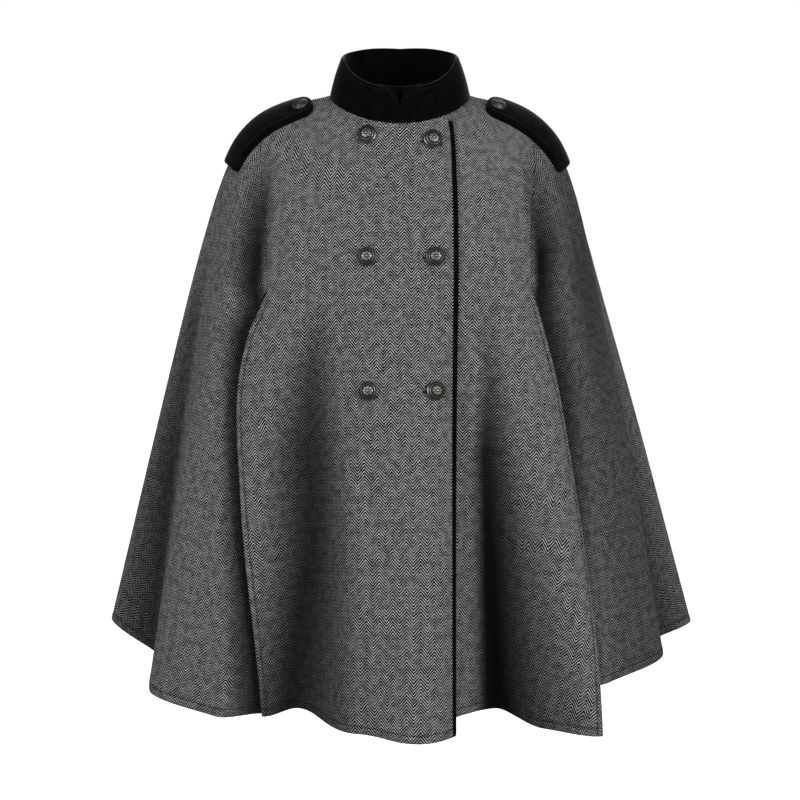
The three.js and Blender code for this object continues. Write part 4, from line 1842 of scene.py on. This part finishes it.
@dataclass(frozen=True)
class HerringboneTweed:
    """Black and off-white wool woven in zigzag columns."""

    column: float = 7.9
    line_pitch: float = 3.7
    line_drop: float = 9.2
    fold_shade: float = 0.96
    wander_size: float = 7
    fuzz_size: float = 5
    yarn_size: float = 9
    patch_size: float = 24
    tint_size: float = 60
    black: Colour = (0.003, 0.003, 0.0034, 1)
    shadow: Colour = (0.006, 0.006, 0.0064, 1)
    facing: Colour = (0.003, 0.003, 0.0034, 1)
    white_warm: Colour = (0.585, 0.588, 0.591, 1)
    white_cool: Colour = (0.573, 0.583, 0.606, 1)

    def material(self) -> bpy.types.Material:
        """Makes the material.

        Returns:
            The finish's material.
        """
        g = Graph.of_material("herringbone_tweed")
        place, across, along = g.weave_place()
        wander = g.noise(place, self.wander_size) - 0.5
        fuzz = g.noise(place, self.fuzz_size, 1.0) - 0.5
        yarn = g.noise(place, self.yarn_size).step(0.3, 0.7)
        patch = g.noise(place, self.patch_size, 3.0).step(0.46, 0.7)
        zigzag = ((across + wander) / (2 * self.column)).triangle()
        phase = (along + wander * 1.3 + zigzag * self.line_drop) / self.line_pitch
        line = (phase * (2 * math.pi)).sine() + fuzz * 0.8
        crisp = line.step(0.15, 0.75)
        level = crisp + (0.3 - crisp) * (patch * 0.4)
        white = level * (0.55 + yarn * 0.6)
        tint = g.noise(place, self.tint_size, 1.0).step(0.35, 0.65)
        light_yarn = g.colour(tint, self.white_warm, self.white_cool)
        woven = g.colour(white.clamped(), self.black, light_yarn)
        shade = g.mark(SHADE_ATTRIBUTE) * self.fold_shade
        shaded = g.colour(shade, woven, self.shadow)
        colour = g.colour(g.mark(FACING_ATTRIBUTE), shaded, self.facing)
        height = white * 0.5 + fuzz * 0.3
        return g.finish(
            Base_Color=colour,
            Roughness=0.92,
            Specular_IOR_Level=0.03,
            Sheen_Weight=0.02,
            Sheen_Roughness=0.5,
            Normal=g.bump(height, 0.0004),
        )


@dataclass(frozen=True)
class BlackFelt:
    """Dense black wool felt with a faint nap."""

    dark: Colour = (0.0012, 0.0012, 0.0014, 1)
    dusty: Colour = (0.005, 0.005, 0.0054, 1)

    def material(self) -> bpy.types.Material:
        """Makes the material.

        Returns:
            The finish's material.
        """
        g = Graph.of_material("black_felt")
        place, _, _ = g.weave_place()
        nap = g.noise(place, 0.8, 4.0)
        cloud = g.noise(place, 14.0, 3.0)
        share = (nap * 0.7 + cloud * 0.6).step(0.45, 0.85)
        height = nap + cloud * 0.8
        return g.finish(
            Base_Color=g.colour(share, self.dark, self.dusty),
            Roughness=0.95,
            Specular_IOR_Level=0.02,
            Sheen_Weight=0.24,
            Sheen_Roughness=0.35,
            Normal=g.bump(height, 0.0003),
        )


@dataclass(frozen=True)
class TwistedThread:
    """Sewing thread of two twisted plies."""

    name: str
    dark: Colour
    light: Colour
    plies: float = 9

    def material(self) -> bpy.types.Material:
        """Makes the material.

        Returns:
            The finish's material.
        """
        g = Graph.of_material(self.name)
        place, across, along = g.weave_place()
        ply = ((along + across) * self.plies).sine()
        wear = g.noise(place, 3.0, 2.0)
        return g.finish(
            Base_Color=g.colour((ply * 0.4 + wear).clamped(), self.dark, self.light),
            Roughness=0.7,
            Specular_IOR_Level=0.2,
            Normal=g.bump(ply, 0.00004),
        )


@dataclass(frozen=True)
class AgedPewter:
    """Dull cast pewter, bright on its relief and dark in its hollows."""

    bright: Colour = (0.36, 0.34, 0.31, 1)
    dark: Colour = (0.035, 0.032, 0.028, 1)

    def material(self) -> bpy.types.Material:
        """Makes the material.

        Returns:
            The finish's material.
        """
        g = Graph.of_material("aged_pewter")
        place, _, _ = g.weave_place()
        hollow = g.mark(HOLLOW_ATTRIBUTE)
        tarnish = g.noise(place, 2.5, 4.0)
        dirt = (hollow * 0.75 + tarnish * 0.6).step(0.3, 1.05)
        return g.finish(
            Base_Color=g.colour(dirt, self.bright, self.dark),
            Metallic=1.0,
            Roughness=0.3 + dirt * 0.35,
            Normal=g.bump(g.noise(place, 0.6, 3.0), 0.00006),
        )


# ------------------------------------------------------------------------ studio


@dataclass(frozen=True)
class SoftBox:
    """A soft rectangular light: its place and size in metres and its power in watts."""

    name: str
    place: tuple[float, float, float]
    size: tuple[float, float]
    power: float

    def build(self, target: Vector) -> None:
        """Adds the light.

        Args:
            target: The place that it is aimed at, in metres.
        """
        data = bpy.data.lights.new(self.name, "AREA")
        data.shape = "RECTANGLE"
        data.size, data.size_y = self.size
        data.energy = self.power
        lamp = bpy.data.objects.new(self.name, data)
        lamp.location = self.place
        lamp.rotation_euler = (target - Vector(self.place)).to_track_quat("-Z", "Y").to_euler()
        bpy.context.scene.collection.objects.link(lamp)


@dataclass
class Studio:
    """The pale floor, the soft light and the camera."""

    floor_z: float = -1.75
    floor_size: float = 60
    camera_distance: float = 2.4
    camera_elevation: float = 10
    target: tuple[float, float, float] = (0, 0, -0.35)
    lens: float = 90
    sensor_width: float = 36
    seen_strength: float = 1.0
    lighting_strength: float = 0.12
    boxes: tuple[SoftBox, ...] = (
        SoftBox("right box", (1.9, -2.2, 0.5), (0.7, 1.8), 42),
        SoftBox("left box", (-1.9, -2.2, 0.5), (0.7, 1.8), 33),
        SoftBox("front box", (0.2, -2.6, 1.7), (1.6, 0.8), 10),
        SoftBox("back box", (0.3, 2.8, 1.2), (2.2, 1.6), 50),
    )

    def build(self) -> None:
        """Adds everything that isn't part of the cape."""
        self.floor()
        self.world()
        for box in self.boxes:
            box.build(Vector(self.target))
        self.camera()
        bpy.context.scene.view_settings.view_transform = "Standard"

    def floor(self) -> None:
        """Adds the floor."""
        half = self.floor_size / 2
        corners = [(-half, -half), (half, -half), (half, half), (-half, half)]
        mesh = bpy.data.meshes.new("floor")
        mesh.from_pydata([(x, y, self.floor_z) for x, y in corners], [], [(0, 1, 2, 3)])
        floor = bpy.data.objects.new("floor", mesh)
        bpy.context.scene.collection.objects.link(floor)
        g = Graph.of_material("floor_paper")
        floor.data.materials.append(
            g.finish(
                Base_Color=(0.9, 0.9, 0.9, 1),
                Roughness=0.9,
                Emission_Color=WHITE,
                Emission_Strength=1.0,
            )
        )
        floor.visible_diffuse = floor.visible_glossy = False

    def world(self) -> None:
        """Adds the even light of a white studio, which the camera sees as white."""
        g = Graph(bpy.data.worlds.new("studio"))
        lighting, seen = (
            g.add("ShaderNodeBackground", None, {"Color": WHITE, "Strength": strength})
            for strength in (self.lighting_strength, self.seen_strength)
        )
        by_camera = g.add("ShaderNodeLightPath", None, None, "Is Camera Ray")
        mixed = g.add("ShaderNodeMixShader", None, {0: by_camera, 1: lighting, 2: seen})
        g.add("ShaderNodeOutputWorld", None, {"Surface": mixed})
        bpy.context.scene.world = g.owner

    def camera(self) -> None:
        """Adds the camera at the photograph's angle."""
        data = bpy.data.cameras.new("camera")
        data.lens = self.lens
        data.sensor_width = self.sensor_width
        angle = math.radians(self.camera_elevation)
        away = Vector((0, -math.cos(angle), math.sin(angle))) * self.camera_distance
        camera = bpy.data.objects.new("camera", data)
        camera.location = Vector(self.target) + away
        camera.rotation_euler = (-away).to_track_quat("-Z", "Y").to_euler()
        bpy.context.scene.collection.objects.link(camera)
        bpy.context.scene.camera = camera


# -------------------------------------------------------------------- the cape


CLOSED_SEAM = -0.5  # millimetres by which neighbours overlap, so that no light shows
BLACK_THREAD = TwistedThread("black_thread", (0.006, 0.006, 0.007, 1), (0.03, 0.03, 0.032, 1))
GREY_THREAD = TwistedThread("grey_thread", (0.03, 0.03, 0.032, 1), (0.3, 0.3, 0.31, 1))

# The X and Z of each front button's middle, in millimetres.
FRONT_BUTTONS = {
    "button_right_top": (-37, -31),
    "button_left_top": (37, -36),
    "button_right_middle": (-37, -165),
    "button_left_middle": (40, -165),
    "button_right_bottom": (-35.5, -313),
    "button_left_bottom": (39.5, -313),
}


@dataclass
class Cape:
    """The whole cape: its pieces, what they replace and their finishes."""

    hang: Hang = field(default_factory=Hang)
    front_button: tuple[float, float] = (22, 9.5)
    epaulette_button: tuple[float, float] = (18.5, 6)
    front_button_lift: float = 0.3
    cut: Cut = field(init=False)

    def __post_init__(self) -> None:
        """Works out the cut from the hang."""
        self.cut = Cut(self.hang)

    def cloth(self) -> list[ClothPiece]:
        """Lists the five pieces cut from the tweed.

        Returns:
            The fronts, the side pieces and the back.
        """
        cut = self.cut
        full = 2 * np.pi

        def front_right(down: Array) -> tuple[Array, Array]:
            """The right front's edges."""
            edge = self.hang.turn_of_x(cut.front_edge(down), down)
            return -cut.front_seam(Hand.RIGHT, down), edge

        def front_left(down: Array) -> tuple[Array, Array]:
            """The left front's edges."""
            edge = self.hang.turn_of_x(cut.underlap_edge, down)
            return edge, cut.front_seam(Hand.LEFT, down)

        def side_right(down: Array) -> tuple[Array, Array]:
            """The right side piece's edges."""
            return cut.side_seam(Hand.RIGHT, down), -cut.side_edge(Hand.RIGHT, down)

        def side_left(down: Array) -> tuple[Array, Array]:
            """The left side piece's edges."""
            return cut.side_edge(Hand.LEFT, down), cut.side_seam(Hand.LEFT, down)

        def back(down: Array) -> tuple[Array, Array]:
            """The back's edges."""
            return cut.side_seam(Hand.LEFT, down), full + cut.side_seam(Hand.RIGHT, down)

        def side_face(hand: Hand) -> Surface:
            """A side piece's outer face."""
            return lambda turn, down: cut.side(hand, turn, down)

        slit, closed, right, left = Border.SLIT, CLOSED_SEAM, Hand.RIGHT, Hand.LEFT
        return [
            ClothPiece(
                "front_right_cloth", cut, cut.front_right, front_right,
                0, 0.0, 90, first=slit,
            ),
            ClothPiece(
                "front_left_cloth", cut, cut.front_left, front_left,
                0, 0.0, 90, last=slit,
            ),
            ClothPiece(
                "side_right_cloth", cut, side_face(right), side_right,
                cut.side_top, math.radians(-64), 60, last=slit, seam_gap=closed,
            ),
            ClothPiece(
                "side_left_cloth", cut, side_face(left), side_left,
                cut.side_top, math.radians(64), 60, first=slit, seam_gap=closed,
            ),
            ClothPiece("back_cloth", cut, self.hang.at, back, 0, math.pi, 180, seam_gap=closed),
        ]

    def buttons(self, felt: bpy.types.Material) -> None:
        """Sews the buttons on, and works the buttonholes of the edge's column.

        Args:
            felt: The finish of the buttonholes' slots, dark painted shade in the holes.
        """
        pewter, grey = AgedPewter().material(), GREY_THREAD.material()
        lift = self.front_button_lift
        for node, (x, z) in FRONT_BUTTONS.items():
            turn, down = self.front_place(x, z)
            button = Button(node + "_cast", *self.front_button, ButtonFace.ROSETTE)
            self.sew(button, node, self.cut.front_right, turn, down, lift, pewter)
            if x > 0:
                hole = Buttonhole(self.cut, node.replace("button", "buttonhole"), turn, down)
                # Each slot is a dark sheet: painted shade inside the hole.
                slot, stitches = hole.build()
                self.add(slot, felt)
                self.add(stitches, grey)
        for hand in Hand:
            strap = Epaulette(self.cut, hand)
            turn, down = strap.place(*(np.array(value) for value in strap.button_at))
            node = f"button_epaulette_{hand.value}"
            button = Button(node + "_cast", *self.epaulette_button, ButtonFace.RINGS)
            lift = strap.thickness + strap.lift
            self.sew(button, node, self.hang.at, turn, down, lift, pewter)

    def sew(
        self,
        button: Button,
        node: str,
        surface: Surface,
        turn: Array,
        down: Array,
        lift: float,
        finish: bpy.types.Material,
    ) -> None:
        """Sews one button on.

        Args:
            button: The button.
            node: The node that it stands for.
            surface: The surface that it is sewn to.
            turn: Its turn in radians.
            down: Its down.
            lift: How far its back is off the surface.
            finish: Its material.
        """
        centre = surface(turn, down)
        thing = button.build(centre, normals_of(surface, turn, down), lift)
        self.dress(thing, finish, "pewter", node)

    def front_place(self, x: float, z: float) -> tuple[Array, Array]:
        """Finds a place on the right front.

        Args:
            x: Its X in millimetres.
            z: Its Z in millimetres.

        Returns:
            The turn in radians and the down.
        """

        def above(down: Array) -> bool:
            """Whether the front is above the place at a down."""
            return bool(self.cut.front_right(self.hang.turn_of_x(x, down), down)[2] > z)

        down = np.array(last_holding(above))
        return self.hang.turn_of_x(x, down), down

    def dress(
        self, thing: bpy.types.Object, finish: bpy.types.Material, slot: str, *nodes: str
    ) -> None:
        """Finishes a piece and hides the parts of the nodes that it stands for.

        Args:
            thing: The piece.
            finish: Its material.
            slot: Not used.
            nodes: The nodes.
        """
        self.add(thing, finish)
        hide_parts(*nodes)

    def add(self, thing: bpy.types.Object, finish: bpy.types.Material) -> None:
        """Finishes a piece, which moves with the cape's one body.

        Args:
            thing: The piece.
            finish: Its material.
        """
        thing.data.materials.append(finish)
        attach(thing, "root")
        log.info("%s: %d faces", thing.name, len(thing.data.polygons))

    def build(self) -> None:
        """Builds and dresses every piece."""
        tweed, felt = HerringboneTweed().material(), BlackFelt().material()
        black = BLACK_THREAD.material()
        for cloth in self.cloth():
            piece, stitches = cloth.build()
            self.dress(piece, tweed, "tweed", cloth.name.removesuffix("_cloth"))
            self.add(stitches, black)
        self.dress(Piping(self.cut).build(), felt, "felt", "piping")
        collar = Collar(self.cut)
        stand, stitches = collar.build()
        self.dress(stand, felt, "felt", "collar")
        self.add(stitches, black)
        for hand in Hand:
            self.dress(NeckTab(collar, hand).build(), felt, "felt", f"collar_tab_{hand.value}")
            strap, stitches = Epaulette(self.cut, hand).build()
            self.dress(strap, felt, "felt", f"epaulette_{hand.value}")
            self.add(stitches, black)
        self.buttons(felt)


def main() -> None:
    """Builds the cape and the studio."""
    logging.basicConfig(level=logging.INFO, format="%(name)s: %(message)s")
    Cape().build()
    Studio().build()
    bpy.context.view_layer.update()


if __name__ == "__main__":
    main()
